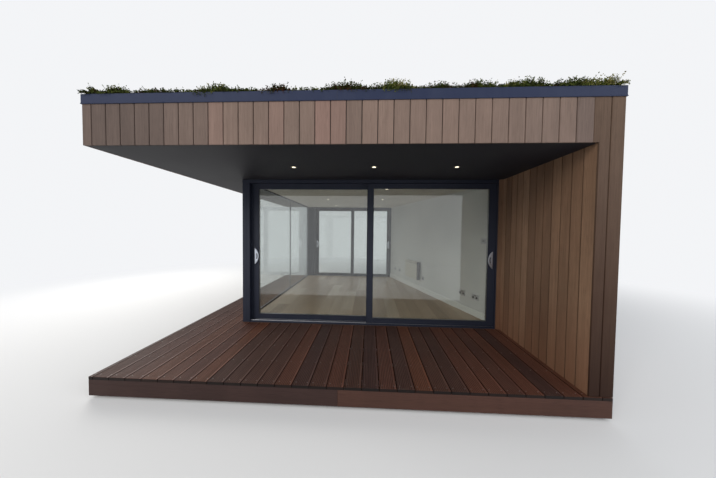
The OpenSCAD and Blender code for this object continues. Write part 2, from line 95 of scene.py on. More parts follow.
# Camera, at the photograph's viewpoint
CAMERA_AT = (0.25478, -4.56776, 1.53908)
TURN, TILT, ROLL = 0.04566, -0.03039, -0.01106
camera = bpy.data.objects.new("camera", bpy.data.cameras.new("camera"))
scene.collection.objects.link(camera)
aim = Matrix.Rotation(TURN, 4, "Z") @ Matrix.Rotation(TILT, 4, "X") @ Matrix.Rotation(ROLL, 4, "Y")
camera.matrix_world = Matrix.Translation(CAMERA_AT) @ aim @ Matrix.Rotation(math.pi / 2, 4, "X")
camera.data.lens = 11.866
camera.data.sensor_width = 36.0
camera.data.clip_start = 0.05
camera.data.clip_end = 200.0
scene.camera = camera
scene.view_settings.view_transform = "Standard"
scene.cycles.transparent_max_bounces = 32


# Materials
def rgb(r, g, b):
    """A colour given as it shows on a screen, 0 to 255, as the linear colour that a shader takes."""
    def linear(c):
        c /= 255
        return c / 12.92 if c <= 0.04045 else ((c + 0.055) / 1.055) ** 2.4
    return (linear(r), linear(g), linear(b), 1.0)


class Shading:
    """Short calls for the nodes of a material or of the world."""

    def __init__(self, owner, output):
        owner.use_nodes = True
        self.tree = owner.node_tree
        self.output = self.tree.nodes[output]

    def node(self, kind, inputs=(), **settings):
        """A new node. Each of its inputs gets a link, or a value of its own."""
        made = self.tree.nodes.new("ShaderNode" + kind)
        for key, value in settings.items():
            setattr(made, key, value)
        for socket, value in dict(inputs).items():
            if isinstance(value, bpy.types.NodeSocket):
                self.tree.links.new(value, made.inputs[socket])
            else:
                made.inputs[socket].default_value = value
        return made

    def math(self, operation, a, b, clamp=False):
        return self.node("Math", {0: a, 1: b}, operation=operation, use_clamp=clamp).outputs[0]

    def show(self, share, first, second):
        """Shows a mix of two shaders."""
        both = self.node("MixShader", {0: share, 1: first.outputs[0], 2: second.outputs[0]})
        self.tree.links.new(both.outputs[0], self.output.inputs["Surface"])

    def watched(self):
        """1 for the rays of the camera and of reflections, and 0 for the others."""
        path = self.node("LightPath").outputs
        return self.math("MAXIMUM", path["Is Camera Ray"], path["Is Glossy Ray"])


class Material(Shading):
    """A Principled material. Constants of its shader are given by name."""

    def __init__(self, name, specular=0.5, **constants):
        self.material = bpy.data.materials.new(name)
        super().__init__(self.material, "Material Output")
        self.shader = self.tree.nodes["Principled BSDF"]
        constants["Specular_IOR_Level"] = specular
        for socket, value in constants.items():
            self.shader.inputs[socket.replace("_", " ")].default_value = value

    def attribute(self, name, output):
        return self.node("Attribute", attribute_name=name).outputs[output]

    def place(self, scale=(1, 1, 1), source=None):
        """Object coordinates, or a board's own, stretched by scale."""
        source = source or self.node("TexCoord").outputs["Object"]
        return self.node("Mapping", {"Vector": source, "Scale": scale}).outputs["Vector"]

    def noise(self, vector=None, scale=1.0, detail=3.0, rough=0.5, distortion=0.0):
        inputs = {"Vector": vector or self.place(), "Scale": scale, "Detail": detail, "Roughness": rough}
        return self.node("TexNoise", {**inputs, "Distortion": distortion}).outputs["Fac"]

    def cells(self, scale):
        return self.node("TexVoronoi", {"Vector": self.place(), "Scale": scale}).outputs["Distance"]

    def ramp(self, fac, stops):
        made = self.node("ValToRGB", {"Fac": fac})
        line = made.color_ramp
        while len(line.elements) < len(stops):
            line.elements.new(1.0)
        for element, (at, colour) in zip(line.elements, stops):
            element.position = at
            element.color = (colour, colour, colour, 1) if isinstance(colour, (int, float)) else colour
        return made.outputs["Color"]

    def mix(self, fac, a, b, blend="MIX"):
        return self.node("Mix", {0: fac, 6: a, 7: b}, data_type="RGBA", blend_type=blend).outputs[2]

    def shaded(self, colour, amount, fac, stops, blend="MULTIPLY"):
        """A colour with a ramp of shades laid over it."""
        return self.mix(amount, colour, self.ramp(fac, stops), blend)

    def span(self, value, low, high, start=0.0, end=1.0):
        """Maps start to end onto low to high."""
        ends = {"Value": value, "From Min": start, "From Max": end, "To Min": low, "To Max": high}
        return self.node("MapRange", ends).outputs["Result"]

    def by_height(self, heights, low, high):
        """Goes from low to high while the object's z goes through the two heights."""
        z = self.node("SeparateXYZ", {"Vector": self.node("TexCoord").outputs["Object"]}).outputs["Z"]
        return self.span(z, low, high, *heights)

    def finish(self, colour, rough, height, depth, strength=1.0):
        bump = self.node("Bump", {"Height": height, "Distance": depth, "Strength": strength})
        for name, value in (("Base Color", colour), ("Roughness", rough), ("Normal", bump.outputs["Normal"])):
            self.tree.links.new(value, self.shader.inputs[name])
        return self.material


def board_wood(name, tones, pores, figure, rough, specular, depth=0.0006, drift=0.0, groove_shade=None, stain_and_light=None,
               foot_shade=None):
    """Wood in boards. Each board carries its own place in the grain and a tone that picks its colour.

    The last three arguments are each two heights, and the last two a colour too: painted shade in the grooves
    that fades out between the heights; a colour washed over the wood in streaks towards the foot, which is
    staining, painted shade or painted bounce light as noted where each wood is made; and painted shade that
    darkens all of it towards the foot."""
    m = Material(name, specular)
    grain = m.attribute("grain", "Vector")
    wide = m.noise(m.place((14, 14, 0.9), grain), distortion=0.7)
    rings = m.noise(m.place((75, 75, 1.6), grain), detail=4, rough=0.6, distortion=0.4)
    fine = m.noise(m.place((420, 420, 9), grain), detail=2)
    streak = m.math("ADD", m.math("MULTIPLY", rings, 0.65), m.math("MULTIPLY", wide, 0.35))
    colour = m.ramp(m.attribute("tone", "Fac"), [(at, rgb(*tone)) for at, tone in tones])
    colour = m.shaded(colour, figure, streak, [(0.32, 0.38), (0.5, 0.5), (0.68, 0.64)], "OVERLAY")
    colour = m.shaded(colour, pores, fine, [(0.34, 0.25), (0.47, 1.0)])
    if drift:
        cloud = m.noise(m.place((2.5, 2.5, 1.1)), rough=0.6)
        colour = m.shaded(colour, drift, cloud, [(0.3, 0.40), (0.7, 0.60)], "OVERLAY")
    # Painted shade in the grooves, darkest at their bottoms
    if groove_shade:
        colour = m.shaded(colour, 1.0, m.by_height(groove_shade, 0.10, 1.0), [(0.0, 0.0), (1.0, 1.0)])
    # Streaks washed over the foot: staining, painted shade or painted bounce light, as noted for each wood
    if stain_and_light:
        heights, wash = stain_and_light
        amount = m.math("MULTIPLY", m.by_height(heights, 1.0, 0.0), m.span(wide, 0.4, 0.9), clamp=True)
        colour = m.mix(amount, colour, rgb(*wash))
    # Painted shade that darkens all of it towards the foot
    if foot_shade:
        heights, foot_shade_colour = foot_shade
        colour = m.shaded(colour, 1.0, m.by_height(heights, 0.0, 1.0), [(0.0, foot_shade_colour), (1.0, 1.0)])
    height = m.math("ADD", m.math("MULTIPLY", fine, 0.4), m.math("MULTIPLY", rings, 0.6))
    return m.finish(colour, m.span(streak, rough[1], rough[0]), height, depth)


def coated_metal(name, colour, dusty, rough, specular):
    """Powder-coated metal with a fine skin and faint dust."""
    m = Material(name, specular)
    skin = m.noise(scale=900, detail=1)
    dust = m.noise(m.place((3, 3, 0.8)), scale=1.6, detail=4, rough=0.65)
    tint = m.mix(m.ramp(dust, [(0.45, 0.0), (0.72, 0.55)]), rgb(*colour), rgb(*dusty))
    return m.finish(tint, m.span(dust, *rough), skin, 0.00012, 0.6)


# Dark sawn wood for the hidden structure, darkened as painted shade where it shows through gaps, as under the
# sills
def shaded_sawn_timber():
    m = Material("shaded_sawn_timber", 0.25)
    streak = m.noise(m.place((60, 4, 60)), detail=4, distortion=0.5)
    colour = m.ramp(streak, [(0.3, rgb(84, 66, 48)), (0.7, rgb(108, 88, 64))])
    return m.finish(colour, m.span(streak, 0.7, 0.85), streak, 0.0006)


def cast_concrete():
    m = Material("concrete", 0.3)
    cloud = m.noise(scale=7, detail=6, rough=0.6)
    grit = m.noise(scale=160)
    body = m.ramp(cloud, [(0.3, rgb(132, 130, 124)), (0.7, rgb(170, 167, 160))])
    colour = m.shaded(body, 0.35, grit, [(0.35, 0.5), (0.6, 1.0)])
    return m.finish(colour, m.span(cloud, 0.8, 0.95), grit, 0.002)


def plaster(name, colour, shade, rough=(0.55, 0.7), grain=260, depth=0.00025):
    """Paint, enamel or plastic with a fine stipple."""
    m = Material(name, 0.3)
    cloud = m.noise(scale=1.3)
    stipple = m.noise(scale=grain, detail=2)
    tint = m.mix(m.ramp(cloud, [(0.35, 0.0), (0.75, 1.0)]), rgb(*colour), rgb(*shade))
    return m.finish(tint, m.span(cloud, *rough), stipple, depth)


def soffit_board():
    m = Material("soffit_charcoal", 0.18)
    cloud = m.noise(m.place((1.2, 0.8, 1)), scale=1.8, detail=5, rough=0.6)
    skin = m.noise(scale=420, detail=2)
    colour = m.ramp(cloud, [(0.3, rgb(31, 31, 35)), (0.55, rgb(37, 36, 41)), (0.8, rgb(43, 43, 45))])
    return m.finish(colour, m.span(cloud, 0.55, 0.7), skin, 0.0002)


def glass():
    """Clear glass: what is behind shows through its tint, and a pane's outer side reflects by Fresnel."""
    m = Material("clear_glass")
    m.tree.nodes.remove(m.shader)
    clear = m.node("BsdfTransparent", {"Color": (0.918, 0.928, 0.924, 1)})
    waves = m.noise(scale=1.4, detail=1)
    ripple = m.node("Bump", {"Height": waves, "Distance": 0.0035, "Strength": 0.35}).outputs["Normal"]
    gloss = m.node("BsdfGlossy", {"Color": (1, 1, 1, 1), "Roughness": 0.0, "Normal": ripple})
    outer_side = m.math("SUBTRACT", 1.0, m.node("NewGeometry").outputs["Backfacing"])
    m.show(m.math("MULTIPLY", m.node("Fresnel", {"IOR": 1.72}).outputs[0], outer_side), clear, gloss)
    return m.material


def rubber(name, colour):
    m = Material(name, 0.35)
    skin = m.noise(scale=500, detail=2)
    tint = m.mix(0.4, (*colour, 1), m.ramp(skin, [(0.3, 0.01), (0.7, 0.03)]))
    return m.finish(tint, m.span(skin, 0.5, 0.7), skin, 0.0002)


def polished():
    """Satin chrome with faint smears, its colour tinted blue as a painted reflection of the sky."""
    m = Material("handle_chrome", Metallic=1.0)
    smear = m.noise(scale=22, detail=4, rough=0.6)
    tint = m.mix(m.ramp(smear, [(0.4, 0.0), (0.8, 0.35)]), (0.50, 0.53, 0.59, 1), (0.42, 0.43, 0.45, 1))
    return m.finish(tint, m.span(smear, 0.24, 0.38), smear, 0.0001)


def brushed(name, colour, lines_scale, rough=(0.28, 0.42), metallic=1.0):
    """Brushed metal. lines_scale is large along the axes that its fine lines lie across."""
    m = Material(name, Metallic=metallic)
    lines = m.noise(m.place(lines_scale), detail=2)
    cloud = m.noise(scale=9)
    tint = m.shaded((*colour, 1), 0.25, lines, [(0.3, 0.6), (0.7, 1.0)])
    return m.finish(tint, m.span(cloud, *rough), lines, 0.00015)


def planting():
    """Sedum leaves. Each tuft has its own tone, from red-brown and deep green to yellow-green."""
    m = Material("sedum_leaves", 0.12)
    blotch = m.noise(scale=60, detail=2)
    leaf = m.cells(105)
    clump = m.noise(scale=11, detail=5, rough=0.72, distortion=0.5)
    shift = m.math("SUBTRACT", m.ramp(clump, [(0.34, 0.0), (0.66, 0.7)]), 0.35)
    tone = m.math("ADD", m.attribute("tone", "Fac"), shift, clamp=True)
    colour = m.ramp(tone, [
        (0.00, rgb(102, 60, 48)), (0.12, rgb(96, 76, 48)), (0.28, rgb(70, 80, 42)), (0.50, rgb(84, 98, 50)),
        (0.72, rgb(116, 128, 62)), (0.90, rgb(154, 158, 78)), (1.00, rgb(182, 172, 112))])
    colour = m.shaded(colour, 0.45, blotch, [(0.3, 0.55), (0.7, 1.0)])
    colour = m.shaded(colour, 0.45, leaf, [(0.15, 1.0), (0.75, 0.35)])
    return m.finish(colour, m.span(blotch, 0.75, 0.92), m.math("SUBTRACT", 1.0, leaf), 0.006)


def soil():
    m = Material("growing_medium", 0.2)
    grit = m.noise(scale=90, detail=5, rough=0.7)
    lump = m.cells(70)
    colour = m.mix(m.ramp(lump, [(0.2, 0.0), (0.7, 1.0)]), rgb(70, 56, 44), rgb(112, 84, 62))
    colour = m.shaded(colour, 0.6, grit, [(0.35, 0.4), (0.65, 1.0)])
    return m.finish(colour, m.span(grit, 0.85, 0.97), grit, 0.004)


def lamp_lens():
    m = Material("lamp_lens", Emission_Strength=2.2, Emission_Color=rgb(255, 238, 205))
    frost = m.noise(scale=300, detail=2)
    return m.finish(m.ramp(frost, [(0.3, 0.85), (0.7, 0.95)]), m.span(frost, 0.3, 0.5), frost, 0.0002)


# Weathered cedar, streaked darker towards the foot: partly weathering and partly painted shade
cedar_outside = board_wood("cedar_weathered", [
    (0.00, (86, 73, 67)), (0.08, (98, 83, 76)), (0.25, (112, 95, 86)), (0.50, (120, 101, 91)),
    (0.66, (125, 101, 92)), (0.84, (130, 109, 95)), (1.00, (139, 118, 102))],
    0.30, 0.46, (0.62, 0.80), 0.2, drift=0.5, stain_and_light=((DECK_Z, DECK_Z + 2.0), (66, 45, 34)))
# The wing's end boards: a darker copy of the cedar, painted as the shade they stand in, with painted shade
# streaked over them below the middle and darkening them towards the foot
cedar_front_shaded = board_wood("cedar_wing_end_shaded", [(0.0, (82, 65, 54)), (0.5, (93, 75, 62)), (1.0, (105, 85, 70))],
    0.34, 0.60, (0.62, 0.80), 0.15, drift=0.6, stain_and_light=((DECK_Z + 0.8, DECK_Z + 2.4), (46, 25, 16)),
    foot_shade=((DECK_Z - 0.1, DECK_Z + 0.9), (0.38, 0.25, 0.20, 1)))
# Golden cedar inside the wing. Its foot is washed redder in streaks: painted warm light bounced from the deck
cedar_inside = board_wood("cedar_golden", [
    (0.00, (101, 77, 60)), (0.25, (108, 83, 65)), (0.50, (114, 88, 69)),
    (0.75, (120, 93, 73)), (1.00, (131, 104, 83))],
    0.42, 0.84, (0.55, 0.72), 0.2, drift=0.7, stain_and_light=((DECK_Z, DECK_Z + 0.8), (112, 75, 55)))
# Darker cedar for the sides of the inner boards in their joints: painted shade between the boards
cedar_joint_shade = board_wood("cedar_joint_shade", [(0.0, (72, 53, 41)), (1.0, (84, 64, 49))], 0.2, 0.3, (0.8, 0.9), 0.1)
# Oiled hardwood deck; its grooves darken towards their bottoms as painted shade
deck_wood = board_wood("hardwood_oiled", [
    (0.00, (66, 45, 41)), (0.22, (74, 50, 42)), (0.48, (82, 52, 43)),
    (0.72, (90, 56, 44)), (0.90, (96, 59, 43)), (1.00, (108, 72, 55))],
    0.42, 0.50, (0.50, 0.68), 0.22, 0.0004, drift=0.5, groove_shade=(DECK_Z - 0.0035, DECK_Z - 0.0006))
# Near-black hardwood for the sides of the deck boards in their gaps: painted shade between the boards
deck_joint_shade = board_wood("hardwood_joint_shade", [(0.0, (26, 17, 15)), (1.0, (34, 22, 18))],
    0.2, 0.3, (0.8, 0.9), 0.05)
skirt_wood = board_wood("hardwood_skirt", [(0.0, (54, 38, 35)), (0.5, (66, 44, 38)), (1.0, (78, 52, 42))],
    0.40, 0.50, (0.55, 0.72), 0.2, 0.0004, drift=0.5)
oak_wood = board_wood("oak_floor_oiled", [
    (0.00, (160, 138, 114)), (0.30, (173, 151, 127)), (0.60, (183, 162, 138)), (1.00, (198, 180, 158))],
    0.32, 0.50, (0.30, 0.44), 0.45, 0.0002)
frame_coat = coated_metal("frame_powder_coat", (32, 36, 49), (42, 45, 57), (0.45, 0.60), 0.25)
trim_coat = coated_metal("trim_powder_coat", (38, 45, 68), (50, 56, 76), (0.55, 0.7), 0.15)
ring_dark = coated_metal("lamp_ring_dark", (52, 52, 50), (60, 60, 58), (0.4, 0.55), 0.3)
ring_metal = brushed("lamp_ring", (0.74, 0.73, 0.71), (60, 60, 60))
bare_metal = brushed("satin_aluminium", (0.32, 0.33, 0.36), (600, 6, 600), (0.35, 0.5))
plate_metal = brushed("plate_brushed_steel", (0.52, 0.52, 0.53), (900, 900, 6), metallic=0.5)
spacer_metal = brushed("spacer_grey", (0.30, 0.30, 0.31), (40, 40, 40))
screw_steel = brushed("screw_steel", (0.20, 0.18, 0.17), (900, 30, 900), (0.5, 0.65))
chrome = polished()
wall_paint = plaster("wall_paint", (214, 214, 211), (204, 204, 202))
ceiling_paint = plaster("ceiling_paint", (222, 217, 205), (212, 207, 195))
gloss_paint = plaster("skirting_paint", (228, 228, 225), (220, 220, 216), (0.25, 0.35), 90, 0.0001)
enamel = plaster("heater_enamel", (206, 202, 190), (198, 194, 182), (0.28, 0.36), 500, 0.0001)
grey_plastic = plaster("grey_plastic", (96, 96, 98), (84, 84, 86), (0.4, 0.5), 700, 0.0001)
sealant = rubber("black_sealant", (0.012, 0.012, 0.013))
gasket = rubber("gasket_rubber", (0.016, 0.016, 0.018))
membrane = rubber("dark_membrane", (0.02, 0.015, 0.012))
soffit_black = soffit_board()
shaded_timber = shaded_sawn_timber()
concrete = cast_concrete()
door_glass = glass()
leaves = planting()
earth = soil()
lens = lamp_lens()


# Meshes
def bands(n, pairs):
    """Faces between rings of n points. A pair is the first points of two rings."""
    return [(a + i, a + (i + 1) % n, b + (i + 1) % n, b + i) for a, b in pairs for i in range(n)]


def prism(loop, low, high):
    """Points and faces of a loop raised from low to high. The side faces come first, in the loop's order."""
    n = len(loop)
    points = [(a, b, c) for c in (low, high) for a, b in loop]
    return points, bands(n, [(0, n)]) + [tuple(range(n))[::-1], tuple(range(n, 2 * n))]


def ease_edges(work, angle, width, segments):
    """Bevels the edges that turn by more than angle."""
    sharp = [e for e in work.edges if len(e.link_faces) == 2 and e.calc_face_angle(0) > angle]
    bmesh.ops.bevel(work, geom=sharp, offset=width, segments=segments, profile=0.5, affect="EDGES",
                    clamp_overlap=True)


class Pieces:
    """Collects solids of one mesh. Each solid keeps its place in the grain, its tone and its material."""

    def __init__(self):
        self.verts, self.faces, self.slots, self.grain, self.tone = [], [], [], [], []

    def solid(self, points, faces, matrix=None, slot=0, tone=0.5, grain=None):
        start = len(self.verts)
        shift = Vector([rng.uniform(0, 40) for _ in range(3)])
        for p in map(Vector, points):
            self.verts.append(matrix @ p if matrix else p)
            self.grain.append((grain @ p if grain else p) + shift)
            self.tone.append(tone)
        self.faces += [[start + i for i in f] for f in faces]
        self.slots += [slot] * len(faces)

    def bar(self, profile, v0, v1, matrix=None, slot=0, tone=0.5, dark=None):
        """Extrudes a (u, w) profile along v. dark is a slot and the profile's sides that take it: painted
        shade in the joints.
        """
        points, faces = prism(profile, v0, v1)
        self.solid(points, faces, matrix, slot, tone)
        if dark:
            for i in dark[1]:
                self.slots[i - len(faces)] = dark[0]

    def box(self, low, high, matrix=None, slot=0, tone=0.5):
        (a, b, c), (d, e, f) = low, high
        self.bar([(a, b), (d, b), (d, e), (a, e)], c, f, matrix, slot, tone)

    def disc(self, centre, radius, height, sides, matrix=None, slot=0, rim=0.0):
        """A flat round head that stands up along v from centre, with a rounded rim."""
        x, y, z = centre
        turns = [2 * math.pi * i / sides for i in range(sides)]
        rings = ((radius, z), (radius, z + height - rim), (radius - rim, z + height))
        points = [(x + r * math.cos(t), y + r * math.sin(t), h) for r, h in rings for t in turns]
        caps = [tuple(range(sides))[::-1], tuple(range(2 * sides, 3 * sides))]
        self.solid(points, caps + bands(sides, [(0, sides), (sides, 2 * sides)]), matrix, slot)

    def sweep(self, section, slot=0):
        """Carries a closed section of (outwards, up) points round the roof's outline."""
        n, rings = len(outline(0)), len(section)
        points = [(X0 + x, Y0 + y, z) for d, z in section for x, y in outline(d)]
        self.solid(points, bands(n, [(k * n, (k + 1) % rings * n) for k in range(rings)]), None, slot)

    def make(self, name, materials, slot_name, *replaced, body="building", bevel=0.0):
        mesh = bpy.data.meshes.new(name)
        mesh.from_pydata([tuple(v) for v in self.verts], [], self.faces)
        for material in materials:
            mesh.materials.append(material)
        mesh.polygons.foreach_set("material_index", self.slots)
        grain = mesh.attributes.new("grain", "FLOAT_VECTOR", "POINT")
        grain.data.foreach_set("vector", np.array([tuple(g) for g in self.grain], np.float32).ravel())
        add_tones(mesh, self.tone)
        work = bmesh.new()
        work.from_mesh(mesh)
        bmesh.ops.recalc_face_normals(work, faces=work.faces)
        if bevel:
            ease_edges(work, 0.6, bevel, 2)
        work.to_mesh(mesh)
        work.free()
        placed(name, mesh, replaced, body)


def add_tones(mesh, tones):
    tone = mesh.attributes.new("tone", "FLOAT", "POINT")
    tone.data.foreach_set("value", np.array(tones, np.float32))


def placed(name, mesh, replaced, body="building"):
    made = bpy.data.objects.new(name, mesh)
    scene.collection.objects.link(made)
    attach(made, body)
    if replaced:
        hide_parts(*replaced)
    return made


def welded(node):
    """A bmesh of a CAD node whose triangles share their points."""
    work = bmesh.new()
    work.from_mesh(nodes[node].data)
    bmesh.ops.remove_doubles(work, verts=work.verts, dist=0.00002)
    return work


def bevelled(node, material, width, body="building", name=None, segments=2, smooth=False):
    """Stands for a CAD node with a copy whose edges are eased."""
    name = name or node + "_eased"
    work = welded(node)
    bmesh.ops.dissolve_limit(work, angle_limit=0.01, verts=work.verts, edges=work.edges)
    ease_edges(work, 0.5, width, segments)
    for face in work.faces:
        face.smooth = smooth
    mesh = bpy.data.meshes.new(name)
    work.to_mesh(mesh)
    work.free()
    mesh.materials.append(material)
    return placed(name, mesh, [node], body)


def solids_of(node):
    """Lowest and highest corners of each separate solid of a node."""
    work = welded(node)
    left, found = set(work.verts), []
    while left:
        group, fresh = set(), {left.pop()}
        while fresh:
            group |= fresh
            fresh = {e.other_vert(v) for v in fresh for e in v.link_edges} - group
        left -= group
        found.append([[pick(v.co[i] for v in group) for i in range(3)] for pick in (min, max)])
    work.free()
    return sorted(found)


# Cladding: thickness, joint, eased edge, cut edge, cover, and the setback of the boards round a corner
THICK, GAP, EASE, CUT_EASE, PITCH, LAP = 0.014, 0.006, 0.003, 0.001, 0.1319, 0.0145
# No board at the end of a run is narrower than this
NARROWEST = 0.03
UNDER_SOFFIT_Z = SOFFIT_Z - 0.0005
FOOT_Z = DECK_Z + 0.005


def board(u0, u1, e0, e1, thick=THICK):
    """A board's section from u0 to u1, its face on w = 0 and the edges of its face eased by e0 and e1."""
    return [(u0, -thick), (u1, -thick), (u1, -e1), (u1 - e1, 0), (u0 + e0, 0), (u0, -e0)]


def cladding(pieces, matrix, length, low, high, first=PITCH, pitch=PITCH, slot=0, dark=None, gap=GAP,
             place_shade=None):
    """Vertical boards along u, face on w = 0. The last argument can give a board's tone from its place and a
    chance.
    """
    joints = [0.0]
    at = first
    while at < length - NARROWEST:
        joints.append(at)
        at += pitch
    joints.append(length)
    for a, b in zip(joints, joints[1:]):
        u0, e0 = (a + gap / 2, EASE) if a > 0 else (a, CUT_EASE)
        u1, e1 = (b - gap / 2, EASE) if b < length else (b, CUT_EASE)
        chance = rng.random()
        tone = place_shade(a, chance) if place_shade else chance
        pieces.bar(board(u0, u1, e0, e1), low, high, matrix, slot, tone, dark)


def front_tone(u, chance):
    """The front boards are dark at the left end and beside the wing, and palest right of the middle: painted
    shade and light along the front.
    """
    if u < 0.7:
        return 0.07 * chance
    if u > 4.1:
        return 0.05 + 0.10 * chance
    return 0.06 + 0.60 * chance + 0.28 * math.exp(-((u - 2.75) / 0.6) ** 2)


# Fascia: boards all round the roof, over a dark band that follows its outline
FRONT_JOINT = 0.0815
LAST_FRONT = ROOF_W - 0.105
NOTCH_JOINT = LAST_FRONT - PITCH
MITRE = 0.006
front = frame_of(0, 0, (1, 0, 0))
left = frame_of(0, ROOF_D, (0, -1, 0))
back = frame_of(side_x(ROOF_D) - MITRE, ROOF_D, (-1, 0, 0))
right = frame_of(ROOF_W, LAP, (0, 1, 0))
splay = frame_of(ROOF_W, FRONT_IN_Y, SLOPE)
fascia = Pieces()
cladding(fascia, front, NOTCH_JOINT, SOFFIT_Z, FASCIA_TOP, FRONT_JOINT, place_shade=front_tone)
for matrix, length in ((left, ROOF_D - LAP), (back, side_x(ROOF_D) - LAP - MITRE), (right, FRONT_IN_Y - LAP),
                       (splay, SPLAY_ROOF_L - 0.002)):
    cladding(fascia, matrix, length, SOFFIT_Z, FASCIA_TOP)
BAND_LOW, BAND_TOP, BAND_IN = SOFFIT_Z + 0.002, FASCIA_TOP - 0.002, LAP + 0.005
fascia.sweep([(-LAP, BAND_LOW), (-LAP, BAND_TOP), (-BAND_IN, BAND_TOP), (-BAND_IN, BAND_LOW)], 1)
fascia.make("fascia_boards", [cedar_outside, membrane], "cedar", "fascia_cladding")

# Wing wall: two boards run the whole height at its front end, and one is cut round the porch's opening
WING_EDGE = ROOF_W - WING_T
INNER_PITCH, INNER_FIRST, INNER_GAP = 0.112, 0.087, 0.0045
# The sides of the inner boards at their joints, which take painted shade
JOINT_SIDES = (1, 2, 4, 5)
MEMBRANE_W = THICK + 0.0003
MEMBRANE_LOW, MEMBRANE_TOP = FOOT_Z + 0.003, SOFFIT_Z - 0.002
wing = Pieces()
# The front end's boards take the darker cedar of painted shade
wing.bar(board(LAST_FRONT + GAP / 2, ROOF_W, EASE, CUT_EASE), FOOT_Z, FASCIA_TOP, front, 4, 0.45)


def notched(u0, u_cut, u1):
    """A front board whose part below the soffit is cut back to u_cut."""
    heights = (FOOT_Z, FOOT_Z, FASCIA_TOP, FASCIA_TOP, SOFFIT_Z, SOFFIT_Z)
    points = []
    for cut, e, w in ((0, 0, -THICK), (0, 0, -EASE), (CUT_EASE, EASE, 0)):
        ends = (u_cut + cut, u1 - e, u1 - e, u0 + e, u0 + e, u_cut + cut)
        points += [(u, w, v) for u, v in zip(ends, heights)]
    caps = [tuple(range(6)), tuple(range(12, 18))[::-1]]
    wing.solid(points, caps + bands(6, [(0, 6), (6, 12)]), front, 4, 0.3)


notched(NOTCH_JOINT + GAP / 2, WING_EDGE, LAST_FRONT - GAP / 2)
inner = frame_of(WING_EDGE, FRONT_Y - CLADDING_T, (0, -1, 0))
cladding(wing, inner, FRONT_Y - CLADDING_T - LAP, FOOT_Z, UNDER_SOFFIT_Z, INNER_FIRST, INNER_PITCH, 1,
         (3, JOINT_SIDES), INNER_GAP)
cladding(wing, right, FRONT_IN_Y - LAP, FOOT_Z, UNDER_SOFFIT_Z)
wing.box((WING_EDGE - BATTEN_W, FRONT_Y - CLADDING_T, FOOT_Z), (WING_EDGE - 0.0003, FRONT_Y, UNDER_SOFFIT_Z),
         PLAN, 1, 0.15)
for low, high in (((WING_EDGE + MEMBRANE_W, 0.0143), (ROOF_W - MEMBRANE_W, CLADDING_T)),
                  ((WING_EDGE + MEMBRANE_W, CLADDING_T), (WING_EDGE + CLADDING_T, FRONT_Y)),
                  ((ROOF_W - CLADDING_T, CLADDING_T), (ROOF_W - MEMBRANE_W, FRONT_IN_Y))):
    wing.box((*low, MEMBRANE_LOW), (*high, MEMBRANE_TOP), PLAN, 2)
wing.make("wing_boards", [cedar_outside, cedar_inside, membrane, cedar_joint_shade, cedar_front_shaded], "cedar",
          "wing_cladding")

# Splayed right wall, outside, and its back end
END_W = side_x(BACK_Y) - WALL_BACK_X
wall_end = frame_of(side_x(BACK_Y), BACK_Y + CLADDING_T, (-1, 0, 0))
side = Pieces()
for matrix, length, first, u0, u1, back_w in (
        (splay, SPLAY_WALL_L, PITCH, 0, SPLAY_WALL_L - 0.01, CLADDING_T),
        (wall_end, END_W, END_W / 2, 0.002, END_W - 0.002, CLADDING_T - 0.0003)):
    cladding(side, matrix, length, FOOT_Z, UNDER_SOFFIT_Z, first)
    side.box((u0, -back_w, MEMBRANE_LOW), (u1, -MEMBRANE_W, MEMBRANE_TOP), matrix, 1)
side.make("side_boards", [cedar_outside, membrane], "cedar", "side_cladding")


# Deck: grooved boards from front to back, with two screws at each joist
DECK_JOINT = ROOF_W - 2.0609
DECK_PITCH, DECK_GAP = 0.1523, 0.007
BOARD_W, BOARD_GROOVES = 0.145, 9
GROOVE_W, GROOVE_D, GROOVE_MARGIN, DECK_EASE = 0.0068, 0.0034, 0.010, 0.0015
SCREW_R, SCREW_IN, SCREW_SUNK, SCREW_H, SCREW_RIM = 0.0045, 0.022, 0.003, 0.0034, 0.0006
JOIST_W, ONE_SCREW_W = 0.047, 0.08


def grooved(u0, width, grooves):
    """A board's section from u0 on: flat below, with rounded edges and grooves on top."""
    thick = DECK_Z - DECK_UNDER_Z
    half = GROOVE_W / 2
    top = [(width, -DECK_EASE), (width - DECK_EASE, 0)]
    step = (width - 2 * GROOVE_MARGIN) / (grooves - 1)
    for i in reversed(range(grooves)):
        c = GROOVE_MARGIN + i * step
        if GROOVE_W <= c <= width - 0.004 - GROOVE_W:
            foot = GROOVE_W * 0.3
            top += [(c + half, 0), (c + foot, -GROOVE_D), (c - foot, -GROOVE_D), (c - half, 0)]
    section = [(0, -thick), (width, -thick)] + top + [(DECK_EASE, 0), (0, -DECK_EASE)]
    return [(u0 + u, z) for u, z in section]


def joists(first, run, number):
    """Middles of evenly spaced joists. The first one begins at first, and the last one run further on."""
    return [first + i * run / (number - 1) + JOIST_W / 2 for i in range(number)]


